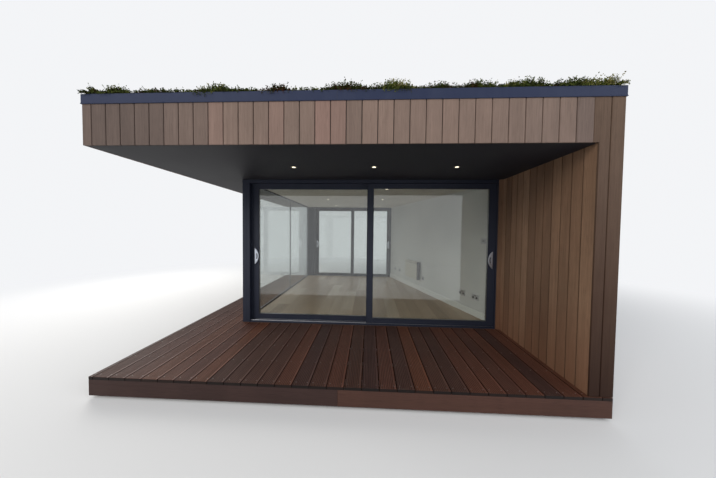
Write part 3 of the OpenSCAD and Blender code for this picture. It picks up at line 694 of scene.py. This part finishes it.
deck = Pieces()
on_deck = Matrix.Translation((X0, Y0, DECK_Z))
joints = [DECK_JOINT + i * DECK_PITCH for i in range(-17, 15)]
edges = [0.0] + [u for u in joints if 0.02 < u < ROOF_W - 0.02] + [ROOF_W]
porch_joists = joists(0.020, 1.293, 5)
walk_joists = joists(1.407, 3.606, 10)
for a, b in zip(edges, edges[1:]):
    u0 = a + (DECK_GAP / 2 if a > 0 else 0)
    u1 = b - (DECK_GAP / 2 if b < ROOF_W else 0)
    width = u1 - u0
    section = grooved(u0, width, max(2, round(BOARD_GROOVES * width / BOARD_W)))
    tone = rng.random()
    last = len(section) - 1
    # The sides at each gap take the painted shade
    dark = (2, ((1, 2) if b < ROOF_W else ()) + ((last, last - 1) if a > 0 else ()))
    deck.bar(section, 0.0, BACK_Y if u1 < WALK_W else FRONT_Y - CLEAR, on_deck @ ALONG_Y, 0, tone, dark)
    if u0 < WALK_W <= u1:
        deck.bar(grooved(u0, WALK_W - u0 - CLEAR, 4), FRONT_Y + CLEAR, BACK_Y, on_deck @ ALONG_Y, 0, tone)
    for y in porch_joists + (walk_joists if u1 < WALK_W else []):
        for x in ((u0 + SCREW_IN, u1 - SCREW_IN) if width > ONE_SCREW_W else ((u0 + u1) / 2,)):
            deck.disc((x, y, -SCREW_SUNK), SCREW_R, SCREW_H, 10, on_deck, 1, SCREW_RIM)
deck.make("deck_boards", [deck_wood, screw_steel, deck_joint_shade], "hardwood_deck", "porch_deck", "side_deck")

# Skirt boards under the deck's edge, in lengths
skirt = Pieces()
SKIRT_EASE, BUTT_GAP, ROW_GAP, TALLEST_BOARD = 0.002, 0.001, 0.0015, 0.16


def skirting_run(matrix, length, low, high, boards, thick=CLADDING_T):
    """Horizontal boards along u, face on w = 0, butted with a fine gap, in two rows where one is too tall."""
    step = length / boards
    rows = 1 if high - low < TALLEST_BOARD else 2
    pitch = (high - low) / rows
    for i in range(boards):
        u0 = i * step + (BUTT_GAP if i else 0)
        u1 = (i + 1) * step - (BUTT_GAP if i < boards - 1 else 0)
        for r in range(rows):
            v0, v1 = low + r * pitch + (ROW_GAP if r else 0), low + (r + 1) * pitch
            skirt.bar(board(v0, v1, SKIRT_EASE, SKIRT_EASE, thick), u0, u1, matrix @ ALONG_X, 0, rng.random())


skirt_left = frame_of(0, BACK_Y, (0, -1, 0))
skirt_right = frame_of(ROOF_W, CLADDING_T + 0.0003, (0, 1, 0))
wing_back = frame_of(ROOF_W, FRONT_Y + CLEAR, (0, 1, 0))
skirting_run(front, ROOF_W, SKIRT_LOW, DECK_UNDER_Z, 2)
skirting_run(skirt_left, BACK_Y - CLADDING_T - 0.0003, SKIRT_LOW, DECK_UNDER_Z, 2)
skirting_run(skirt_right, FRONT_IN_Y - CLADDING_T, SKIRT_LOW, DECK_UNDER_Z, 1)
skirting_run(wing_back, FRONT_IN_Y - FRONT_Y - CLEAR, DECK_UNDER_Z + CLEAR, DECK_Z - 0.0005, 1)
skirting_run(splay, SPLAY_WALL_L, SKIRT_LOW, DECK_Z - 0.0005, 2)
skirting_run(wall_end, side_x(BACK_Y), SKIRT_LOW, DECK_UNDER_Z, 2, CLADDING_T - 0.0003)
skirt.make("skirt_boards", [skirt_wood], "hardwood_deck", "base_skirt")

# Oak floor: planks from front to back with staggered ends, cut to the splayed wall
OAK_X0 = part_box("oak_floor")[0][0] - X0
PLANK_W, PLANK_GAP = 0.190, 0.0012
oak = Pieces()


def wall_line(y):
    """How far across the front the right wall's inner face is."""
    return side_x(y, -WALL_T)


def wall_y(x):
    """How far back the right wall's inner face is."""
    return FRONT_IN_Y + (wall_line(FRONT_IN_Y) - x) * COS / SIN


def plank(x0, x1, y0, y1, tone):
    """One plank of the floor, cut by the splayed wall."""
    y_a, y_b = min(y1, wall_y(x0)), min(y1, wall_y(x1))
    if y_a <= y0 + 0.002:
        return
    loop = [(x0, y0)]
    if y_b > y0:
        loop += [(x1, y0), (x1, y_b)]
        if y_b < y1 < wall_y(x0):
            loop.append((wall_line(y1), y1))
    else:
        loop.append((wall_line(y0), y0))
    loop.append((x0, y_a))
    points, faces = prism(loop, DECK_Z + CLEAR, FLOOR_Z)
    oak.solid(points, faces, PLAN, 0, tone, ALONG_Y)


x = OAK_X0
while x < wall_line(FRONT_IN_Y) - 0.005:
    x1 = min(x + PLANK_W, wall_line(FRONT_IN_Y))
    y = FRONT_IN_Y
    run = rng.uniform(0.4, 1.9)
    while y < BACK_IN_Y - 0.01:
        y1 = min(y + run, BACK_IN_Y)
        half = PLANK_GAP / 2
        plank(x + half, x1 - half, y + half, y1 - half, rng.random())
        y, run = y1, rng.choice((1.2, 1.5, 1.9))
    x = x1
oak.make("oak_planks", [oak_wood], "oak", "oak_floor")

# Glazing units: two panes on a spacer bar, with a seal round the edge
PANE_T, SPACER_W, SEAL_W = 0.006, 0.012, 0.006


def surround(pieces, low, high, across, width, slot=0):
    """Four bars inside a box's edge: two upright ones, and two that lie between them."""
    flat = 1 - across
    for axis in (flat, 2):
        for at_end in (False, True):
            lo, hi = list(low), list(high)
            if at_end:
                lo[axis] = high[axis] - width
            else:
                hi[axis] = low[axis] + width
            if axis == 2:
                lo[flat] += width
                hi[flat] -= width
            pieces.box(lo, hi, None, slot)


def glazing(name, node, across, body="building"):
    """Stands for a glass node. across is the axis through the glass, 0 or 1."""
    pieces = Pieces()
    for low, high in solids_of(node):
        for a in (low[across], high[across] - PANE_T):
            lo, hi = list(low), list(high)
            lo[across], hi[across] = a, a + PANE_T
            pieces.box(lo, hi)
        for start, width, slot in ((SEAL_W, SPACER_W, 1), (0, SEAL_W, 2)):
            insets = [PANE_T if i == across else start for i in range(3)]
            lo = [a + inset for a, inset in zip(low, insets)]
            hi = [a - inset for a, inset in zip(high, insets)]
            surround(pieces, lo, hi, across, width, slot)
    pieces.make(name, [door_glass, spacer_metal, sealant], "clear_glass", node, body=body)


# Door leaves: depth of the glass in the sash, meeting stile, gasket, draught seal, and grip opening
GLASS_SEAT, MEETING_W = 0.014, 0.086
GASKET_W, GASKET_T, TOUCH = 0.0045, 0.0032, 0.0001
DRAUGHT_SUNK, DRAUGHT_PROUD, DRAUGHT_HALF_W = 0.0055, 0.003, 0.005
GRIP_IN, GRIP_OUT, GRIP_HALF_H = 0.0145, 0.0385, 0.0415


def crescent_handles(leaf, body):
    """Eased handles, with the walls of their grip openings painted black as the shade inside them."""
    pulls = bevelled(leaf + "_handles", chrome, 0.0045, body, leaf + "_pulls", 3, True)
    pulls.data.materials.append(sealant)
    (x0, _, z0), (x1, _, z1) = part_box(leaf + "_handles")
    belly, middle = x1 if "left" in leaf else x0, (z0 + z1) / 2
    for face in pulls.data.polygons:
        beside, above = abs(face.center.x - belly), abs(face.center.z - middle)
        # Faces inside the grip opening take the black of painted shade
        if GRIP_IN < beside < GRIP_OUT and above < GRIP_HALF_H and abs(face.normal.y) < 0.6:
            face.material_index = 1


def gaskets(leaf, body, seal_side):
    """Gaskets on both faces of the glass, and the draught seal on the meeting stile's face at seal_side."""
    (x0, y0, z0), (x1, y1, z1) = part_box(leaf + "_glass")
    (sx0, sy0, sz0), (sx1, sy1, sz1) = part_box(leaf + "_sash")
    x0, z0, x1, z1 = x0 + GLASS_SEAT, z0 + GLASS_SEAT, x1 - GLASS_SEAT, z1 - GLASS_SEAT
    seal = Pieces()
    for ya, yb in ((y0 - GASKET_T, y0 - TOUCH), (y1 + TOUCH, y1 + GASKET_T)):
        surround(seal, (x0, ya, z0), (x1, yb, z1), 1, GASKET_W)
    at_left = x0 - sx0 < sx1 - x1
    middle = sx0 + MEETING_W / 2 if at_left else sx1 - MEETING_W / 2
    face = sy1 if seal_side > 0 else sy0
    ya, yb = sorted((face - seal_side * DRAUGHT_SUNK, face + seal_side * DRAUGHT_PROUD))
    seal.box((middle - DRAUGHT_HALF_W, ya, sz0 + CLEAR), (middle + DRAUGHT_HALF_W, yb, sz1 - CLEAR))
    seal.make(leaf + "_gaskets", [gasket], "black_sealant", body=body, bevel=0.0008)


glazing("side_glazing", "side_glass", 0)
for leaf, seal_side in (("front_left", -1), ("front_right", 1), ("back_left", -1), ("back_right", 1)):
    body = leaf + "_leaf"
    glazing(leaf + "_glazing", leaf + "_glass", 1, body)
    bevelled(leaf + "_sash", frame_coat, 0.0005, body, leaf + "_sash_frame")
    crescent_handles(leaf, body)
    gaskets(leaf, body, seal_side)

# Fixed frames, sills with bare rails, and the CAD nodes that keep their shape
RAIL_Z = DECK_Z + 0.0205
for node, width in (("front_door_frame", 0.002), ("back_door_frame", 0.002), ("front_left_post", 0.003),
                    ("back_left_post", 0.003), ("side_glass_channels", 0.0012)):
    bevelled(node, frame_coat, width)
for node in ("front_door_sill", "back_door_sill"):
    sill = bevelled(node, frame_coat, 0.0012)
    sill.data.materials.append(bare_metal)
    for face in sill.data.polygons:
        face.material_index = 1 if face.center.z > RAIL_Z else 0
bevelled("skirting_board", gloss_paint, 0.004)
bevelled("side_glass_joint", sealant, 0.001)
KEPT = {"soffit": soffit_black, "ceiling": ceiling_paint, "side_lining": wall_paint, "floor_platform": shaded_timber,
        "deck_joists": shaded_timber, "wing_wall": shaded_timber, "side_wall": shaded_timber, "roof_structure": shaded_timber,
        "foundation_strips": concrete, "growing_medium": earth}
for node, material in KEPT.items():
    slots = nodes[node].data.materials
    slots.clear()
    slots.append(material)

# Roof trim: a folded section swept round the outline, with sealed butt joints
LIP, TRIM_FACE, FLANGE = 0.008, 0.0052, 0.060
SEAL_HALF = 0.0012
trim = Pieces()
trim.sweep([
    (LIP, FASCIA_TOP + 0.002), (LIP, FASCIA_TOP), (-0.0005, FASCIA_TOP), (-FLANGE, FASCIA_TOP),
    (-FLANGE, TRIM_TOP - 0.004), (-0.052, TRIM_TOP), (0.002, TRIM_TOP - 0.0005), (0.0045, TRIM_TOP - 0.0015),
    (TRIM_FACE, TRIM_TOP - 0.004), (TRIM_FACE, FASCIA_TOP + 0.010), (LIP, FASCIA_TOP + 0.006)])
back_edge = Matrix.Translation((X0, Y0 + ROOF_D, 0))
for matrix, u in ((front, 2.247), (left, 2.6), (back_edge, 1.6), (splay, 1.7)):
    u0, u1 = u - SEAL_HALF, u + SEAL_HALF
    trim.box((u0, 0.0050, FASCIA_TOP + 0.009), (u1, 0.0055, TRIM_TOP - 0.003), matrix, 1)
    trim.box((u0, -0.052, TRIM_TOP - 0.001), (u1, 0.0035, TRIM_TOP + 0.0002), matrix, 1)
trim.make("trim_sections", [trim_coat, sealant], "blue_grey_metal", "roof_trim")


# Planting: a mossy carpet on the medium, tufts of fleshy stems, and strands that hang over the trim
ROOT_Z = MEDIUM_TOP + 0.008
STEM_R = 0.0014


class Growth:
    """Collects stems and leaves of one mesh, each with its tone."""

    def __init__(self, seed):
        self.dice = np.random.default_rng(seed)
        self.verts, self.faces, self.tones = [], [], []

    def add(self, points, faces, tone):
        start = len(self.verts)
        self.verts += points
        self.faces += [tuple(start + i for i in f) for f in faces]
        self.tones += [min(1, max(0, tone))] * len(points)

    def leaf(self, root, reach, across, size, tone):
        """A cupped leaf of two triangles."""
        mid = root + reach * 0.55 - reach.cross(across).normalized() * size * 0.22
        self.add([root, mid + across, root + reach, mid - across], ((0, 1, 2), (0, 2, 3)), tone)

    def make(self, name, *replaced):
        mesh = bpy.data.meshes.new(name)
        mesh.from_pydata([tuple(v) for v in self.verts], [], self.faces)
        add_tones(mesh, self.tones)
        mesh.materials.append(leaves)
        return placed(name, mesh, replaced)


def around(turn, up=0.0):
    return Vector((math.cos(turn), math.sin(turn), up))


def across_of(turn):
    return Vector((-math.sin(turn), math.cos(turn), 0))


def carpet():
    rows, columns, wide = 110, 100, 101
    d = -0.062
    moss = Growth(5)
    chance = moss.dice.uniform
    bumps = [(chance(0.5, 9), chance(0.5, 9), chance(0, 6.28), chance(0.4, 1.0)) for _ in range(14)]
    for j in range(rows + 1):
        y = -d + (ROOF_D + 2 * d) * j / rows
        right_x = min(ROOF_W + d, side_x(y, d))
        for i in range(wide):
            x = -d + (right_x + d) * i / columns
            rise = sum(a * math.sin(kx * x + ky * y + p) for kx, ky, p, a in bumps) / len(bumps)
            edge = i in (0, columns) or j in (0, rows)
            z = MEDIUM_TOP + (0.0005 if edge else 0.012 + 0.012 * rise + chance(0, 0.009))
            moss.add([(X0 + x, Y0 + y, z)], (), 0.42 + 0.9 * rise + chance(-0.12, 0.12))
    corners = [j * wide + i for j in range(rows) for i in range(columns)]
    moss.faces = [(a, a + 1, a + wide + 1, a + wide) for a in corners]
    for polygon in moss.make("sedum_carpet", "sedum_planting").data.polygons:
        polygon.use_smooth = True


def tufts(name, spots, seed, stems=(5, 9), leaf=0.009, over=None):
    """Many tufts in one mesh. A spot is (x, y, height, tone). over gives the way they hang over the trim."""
    plants = Growth(seed)
    dice = plants.dice
    for x, y, tall, tone in spots:
        base = Vector((X0 + x, Y0 + y, ROOT_Z))
        for _ in range(dice.integers(*stems)):
            lean = dice.uniform(0.05, 0.75)
            out = around(dice.uniform(0, 2 * math.pi))
            if over:
                out = (out + 1.3 * Vector(over(x, y))).normalized()
                lean *= 1.9
            beside = Vector((-out.y, out.x, 0))
            length = tall * dice.uniform(0.45, 1.0)
            foot = base + out * dice.uniform(0, 0.012)
            top = foot + out * (lean * length * 0.55) + Vector((0, 0, length))
            shade = min(1, max(0, tone + dice.uniform(-0.14, 0.14)))
            stem = [foot + beside * STEM_R, foot - beside * STEM_R, foot + out * STEM_R, top]
            plants.add(stem, ((0, 1, 3), (1, 2, 3), (2, 0, 3)), shade * 0.5)
            for _ in range(dice.integers(7, 13)):
                spin = dice.uniform(0, 2 * math.pi)
                reach = around(spin, dice.uniform(0.0, 1.1)).normalized() * leaf * dice.uniform(0.8, 1.5)
                across = across_of(spin) * leaf * dice.uniform(0.38, 0.55)
                up_stem = dice.uniform(0.30, 1.0)
                # Leaves higher on a stem take a lighter tone: painted light on the tips
                plants.leaf(foot.lerp(top, up_stem), reach, across, leaf, shade + 0.24 * (up_stem - 0.5))
    plants.make(name)


# Clumps along the front edge, as in the photograph: place, width and thickness
CLUMPS = ((0.02, 0.14, 0.95), (0.28, 0.16, 0.85), (0.62, 0.26, 0.62), (1.20, 0.18, 0.95), (1.74, 0.09, 0.85),
          (2.32, 0.18, 1.0), (2.72, 0.15, 1.1), (3.12, 0.12, 0.75), (3.42, 0.16, 0.85), (3.80, 0.22, 0.92),
          (4.22, 0.22, 1.0), (4.47, 0.14, 1.0))
# Yellow-green clumps and red-brown ones: place, width and shift of the tone
BLOOM = ((2.72, 0.16, 0.36), (4.30, 0.30, 0.40), (1.72, 0.10, -0.34), (0.10, 0.12, -0.10),
         (3.05, 0.12, -0.15))
# Strands that hang over the trim: place along the front, spread, number and drop
HANG = ((0.22, 0.16, 34, 0.006), (0.55, 0.20, 26, 0.003), (1.09, 0.05, 20, 0.036), (1.30, 0.16, 16, 0.010),
        (1.74, 0.06, 26, 0.026), (2.33, 0.12, 32, 0.018), (2.74, 0.10, 46, 0.026), (3.40, 0.30, 30, 0.004),
        (4.20, 0.20, 34, 0.005))
EDGE = 0.064
SHARE = 1.0


def hills(x, table):
    return [amount * math.exp(-((x - centre) / width) ** 2) for centre, width, amount in table]


def growth(x):
    """How thick the planting stands along the front edge."""
    return max(0.42, *hills(x, CLUMPS))


def front_patch(x):
    """How the tone drifts along the front edge."""
    return 0.14 * math.sin(7.3 * x) + sum(hills(x, BLOOM))


def scatter(count, place, seed, height=(0.045, 0.105), thick=None):
    dice = random.Random(seed)
    spots = []
    while len(spots) < int(count * SHARE):
        x, y = place(dice)
        amount = thick(x) if thick else dice.uniform(0.45, 1.0)
        if dice.random() > 0.15 + 0.85 * amount:
            continue
        tall = (height[0] + (height[1] - height[0]) * dice.random() ** 1.3) * (0.40 + 0.60 * amount)
        drift = 0.16 * math.sin(2.3 * x + 1.7 * y) + 0.12 * math.sin(5.1 * x - 3.3 * y)
        tone = dice.gauss(0.40 + (front_patch(x) if thick else drift), 0.17)
        spots.append((x, y, tall, min(1, max(0, tone))))
    return spots


def along_front(dice):
    run = 0.06 if dice.random() < 0.05 else ROOF_W - 2 * EDGE
    return dice.uniform(EDGE, EDGE + run), EDGE + 0.06 * dice.random() ** 2


def along_left(dice):
    return EDGE + 0.10 * dice.random() ** 2, dice.uniform(EDGE, ROOF_D - EDGE)


def along_back(dice):
    return dice.uniform(EDGE, side_x(ROOF_D) - 0.09), ROOF_D - EDGE - 0.10 * dice.random() ** 2


def along_right(dice):
    y = dice.uniform(EDGE, ROOF_D - 0.1)
    return min(ROOF_W - EDGE, side_x(y, -EDGE)) - 0.10 * dice.random() ** 2, y


def on_field(dice):
    y = dice.uniform(0.12, ROOF_D - 0.12)
    return dice.uniform(0.12, min(ROOF_W, side_x(y)) - 0.14), y


def strands():
    """Thin stems that arch over the trim, with leaves along them."""
    plants = Growth(77)
    dice = plants.dice
    starts = []
    for centre, spread, number, drop in HANG:
        for _ in range(int(number * SHARE)):
            x = min(ROOF_W - EDGE, max(EDGE, dice.normal(centre, spread)))
            starts.append((x, EDGE + 0.004, dice.uniform(-0.35, 0.35), drop * dice.uniform(0.3, 1.3)))
    for x, lean, number in ((EDGE, -1.0, 44), (ROOF_W - EDGE, 0.66, 34)):
        for _ in range(int(number * SHARE)):
            starts.append((x, EDGE, lean * dice.uniform(0.0, 1.25), dice.uniform(-0.030, 0.012)))
    for x, y, lean, drop in starts:
        out = Vector((lean, -1.0, 0)).normalized()
        beside = Vector((-out.y, out.x, 0))
        foot = Vector((X0 + x, Y0 + y, ROOT_Z))
        lip = Vector((foot.x, foot.y, TRIM_TOP)) + out * (0.070 / max(abs(out.x), abs(out.y)))
        crest = lip - out * 0.012 + Vector((0, 0, 0.046 + 0.8 * drop + dice.uniform(0, 0.012)))
        end = lip + out * dice.uniform(0.006, 0.020) - Vector((0, 0, drop))
        # Strands that hang low take a darker tone: painted shade under the trim's edge
        shade = min(1, max(0, dice.normal((0.38 if drop < 0.008 else 0.20) + front_patch(x), 0.12)))

        def at(s):
            return foot * (1 - s) ** 2 + crest * (2 * s * (1 - s)) + end * s ** 2

        for k in range(6):
            rings = [(at(j / 6), STEM_R * (1 - j / 7)) for j in (k, k + 1)]
            points = [p + way * r for p, r in rings for way in (beside, -beside, Vector((0, 0, 1.4)))]
            plants.add(points, bands(3, [(0, 3)]), shade * 0.5)
        for _ in range(dice.integers(12, 20)):
            s = dice.uniform(0.35, 1.0)
            spin = dice.uniform(0, 2 * math.pi)
            size = 0.009 * dice.uniform(0.7, 1.25)
            reach = (around(spin, dice.uniform(-0.2, 0.8)) + 0.5 * out).normalized() * size
            across = across_of(spin) * size * dice.uniform(0.38, 0.55)
            plants.leaf(at(s), reach, across, size, shade + 0.2 * (s - 0.5))
    plants.make("sedum_strands")


carpet()
for k in range(2):
    spots = scatter(1150, along_front, 1 + 50 * k, (0.066, 0.120), growth)
    tufts(f"sedum_front_{k + 1}", spots, 11 + 50 * k, leaf=0.011,
          over=lambda x, y: (-0.9, -0.6, 0) if x < 0.16 else (0, -1, 0))
tufts("sedum_left", scatter(620, along_left, 2), 12, over=lambda x, y: (-1, 0, 0))
tufts("sedum_back", scatter(380, along_back, 3), 13, over=lambda x, y: (0, 1, 0))
for name, x, lean, seed in (("sedum_corner_left", EDGE, -1.0, 41),
                            ("sedum_corner_right", ROOF_W - EDGE, 1.0, 42)):
    spots = scatter(40, lambda dice: (x - lean * 0.07 * dice.random() ** 2, EDGE + 0.05 * dice.random() ** 2),
                    seed, (0.055, 0.095))
    tufts(name, spots, seed + 10, leaf=0.011, over=lambda px, py: (lean, -0.45, 0))
strands()
tufts("sedum_right", scatter(600, along_right, 4), 14,
      over=lambda x, y: (1, 0, 0) if y < FRONT_IN_Y else OUTWARD)
for k in range(2):
    tufts(f"sedum_field_{k + 1}", scatter(1500, on_field, 20 + k, (0.022, 0.050)), 30 + k, (3, 6), 0.014)

# Downlights: rings and lit lenses
LENS_UP, LENS_T, LENS_SIDES = 0.0012, 0.0006, 32
for node, name, metal, share in (("porch_lights", "porch_lenses", ring_dark, 0.50),
                                 ("room_lights", "room_lenses", ring_metal, 0.66)):
    bevelled(node, metal, 0.0006)
    lit = Pieces()
    for low, high in solids_of(node):
        centre = ((low[0] + high[0]) / 2, (low[1] + high[1]) / 2, low[2] + LENS_UP)
        lit.disc(centre, (high[0] - low[0]) / 2 * share, LENS_T, LENS_SIDES)
    lit.make(name, [lens], "light_ring")

# Panel heater on the right wall: places along the wall, out from it and up
wall = frame_of(side_x(FRONT_IN_Y, -WALL_T), FRONT_IN_Y, SLOPE, INWARD)
HEATER_AT, HEATER_W, HEATER_H, HEATER_R = 2.245, 0.600, 0.400, 0.012
HEATER_Z = FLOOR_Z + 0.245
NEAR, FAR = 0.020, 0.080
CONTROL_W = 0.036
BRACKET_AT, BRACKET_HALF_W, BRACKET_HALF_H = 0.170, 0.020, 0.100
GRILLE_PITCH, SLOTS, SLOT_W, SLOT_H, VENT_W = 0.024, 21, 0.018, 0.0055, 0.012
SLOT_DROPS = (0.030, 0.042, 0.054)


def quarter(u, w, start, steps=5):
    """Points of a quarter round about (u, w) that begins at the given quarter turn."""
    turns = [math.pi / 2 * (start + k / steps) for k in range(steps + 1)]
    return [(u + HEATER_R * math.cos(t), w + HEATER_R * math.sin(t)) for t in turns]


def panel_heater():
    heater = Pieces()
    low, top = HEATER_Z, HEATER_Z + HEATER_H
    u0, u1 = HEATER_AT - HEATER_W / 2, HEATER_AT + HEATER_W / 2
    split = u0 + CONTROL_W
    gap = split + 0.002
    panel = [(gap, NEAR), (u1, NEAR)] + quarter(u1 - HEATER_R, FAR - HEATER_R, 0) + [(gap, FAR)]
    control = [(u0, NEAR), (split, NEAR), (split, FAR)] + quarter(u0 + HEATER_R, FAR - HEATER_R, 1)
    heater.bar(panel, low, top, wall, 0)
    heater.bar(control, low, top, wall, 1)
    heater.box((split - 0.001, NEAR + 0.002, low + 0.002), (split + 0.003, FAR - 0.002, top - 0.002), wall, 1)
    for c in (HEATER_AT - BRACKET_AT, HEATER_AT + BRACKET_AT):
        middle = low + HEATER_H / 2
        heater.box((c - BRACKET_HALF_W, 0.0, middle - BRACKET_HALF_H),
                   (c + BRACKET_HALF_W, NEAR - 0.0002, middle + BRACKET_HALF_H), wall, 1)
    for i in range(SLOTS):
        u = split + (i + 1) * GRILLE_PITCH
        for drop in SLOT_DROPS:
            z = top - drop
            heater.box((u, FAR - 0.0005, z), (u + SLOT_W, FAR + 0.0006, z + SLOT_H), wall, 1)
        heater.box((u, NEAR + 0.014, top - 0.001), (u + VENT_W, FAR - 0.014, top + 0.0004), wall, 2)
    heater.box((u0 + 0.008, FAR - 0.0005, top - 0.085), (u0 + 0.028, FAR + 0.004, top - 0.030), wall, 2)
    heater.make("heater_panel", [enamel, grey_plastic, sealant], "white_enamel", "panel_heater",
                bevel=0.0015)


# Wall plates: place along the wall, width, and the places of outlets and rockers on the plate
SOCKET_Z, SWITCH_Z = DECK_Z + 0.335, DECK_Z + 1.220
PLATE_T, PLATE_W, DOUBLE_W = 0.009, 0.086, 0.146
PAIR, TWIN_OUTLETS = (-0.014, 0.014), (-0.036, 0.036)
SOCKETS = ((0.300, DOUBLE_W, TWIN_OUTLETS, PAIR), (0.600, DOUBLE_W, TWIN_OUTLETS, PAIR),
           (1.840, PLATE_W, (0.0,), (0.026,)), (3.010, PLATE_W, (0.0,), ()), (3.280, PLATE_W, (0.0,), ()))
SWITCH_AT = 0.165


def wall_plates():
    plates = Pieces()

    def plate(u, z, width):
        plates.box((u - width / 2, 0, z - PLATE_W / 2), (u + width / 2, PLATE_T, z + PLATE_W / 2), wall, 0)

    def inset(u, half_w, z0, z1, sunk, proud):
        plates.box((u - half_w, PLATE_T - sunk, z0), (u + half_w, PLATE_T + proud, z1), wall, 1)

    for along, width, outlets, rockers in SOCKETS:
        plate(along, SOCKET_Z, width)
        for du in rockers:
            inset(along + du, 0.006, SOCKET_Z + 0.012, SOCKET_Z + 0.032, 0.001, 0.003)
        for du in outlets:
            inset(along + du, 0.020, SOCKET_Z - 0.026, SOCKET_Z + 0.008, 0.0005, 0.0008)
    plate(SWITCH_AT, SWITCH_Z, PLATE_W)
    for du in PAIR:
        inset(SWITCH_AT + du, 0.007, SWITCH_Z - 0.013, SWITCH_Z + 0.013, 0.001, 0.003)
    plates.make("wall_plates", [plate_metal, grey_plastic], "brushed_plate", "wall_sockets", bevel=0.0012)


panel_heater()
wall_plates()

# Studio floor: pale, and as bright as the backdrop where the camera sees it far off
BACKDROP = (0.90, 0.91, 0.93, 1)
bpy.ops.mesh.primitive_plane_add(size=60, location=(0, 0, -0.0005))
floor = bpy.context.object
floor.name = "studio_floor"
f = Material("studio_floor", 0.1, Roughness=0.9, Base_Color=(0.74, 0.74, 0.74, 1))
reach = f.node("VectorMath", {0: f.place()}, operation="LENGTH").outputs["Value"]
fade = f.node("MapRange", {"Value": reach, "From Min": 4.0, "From Max": 9.5}, interpolation_type="SMOOTHSTEP")
share = f.math("MULTIPLY", fade.outputs["Result"], f.watched())
f.show(share, f.shader, f.node("Emission", {"Color": BACKDROP, "Strength": 1.0}))
floor.data.materials.append(f.material)

# World: soft light on the object, and the backdrop's colour where the camera or a reflection sees it
scene.world = bpy.data.worlds.new("studio")
world = Shading(scene.world, "World Output")
skies = [world.node("Background", {"Color": colour, "Strength": strength})
         for colour, strength in (((0.93, 0.96, 1.0, 1), 0.62), (BACKDROP, 1.0))]
world.show(world.watched(), *skies)


def lamp(name, place, aim, size, power, colour):
    data = bpy.data.lights.new(name, "AREA")
    data.shape = "SQUARE"
    data.size = size
    data.energy = power
    data.color = colour
    made = bpy.data.objects.new(name, data)
    made.location = place
    made.rotation_euler = (Vector(aim) - Vector(place)).to_track_quat("-Z", "Y").to_euler()
    scene.collection.objects.link(made)


# The key stands far off, so that both ends of the front get about the same light
lamp("key", (-8.0, -14.0, 9.0), (0, 0, 1.0), 8.0, 1400, (1.0, 0.97, 0.93))
lamp("fill", (7.5, -6.5, 4.0), (0, 0, 1.0), 5.0, 240, (0.93, 0.96, 1.0))
lamp("side", (-8.0, 2.5, 4.5), (0.5, 1.0, 0.5), 4.0, 360, (1.0, 0.97, 0.92))
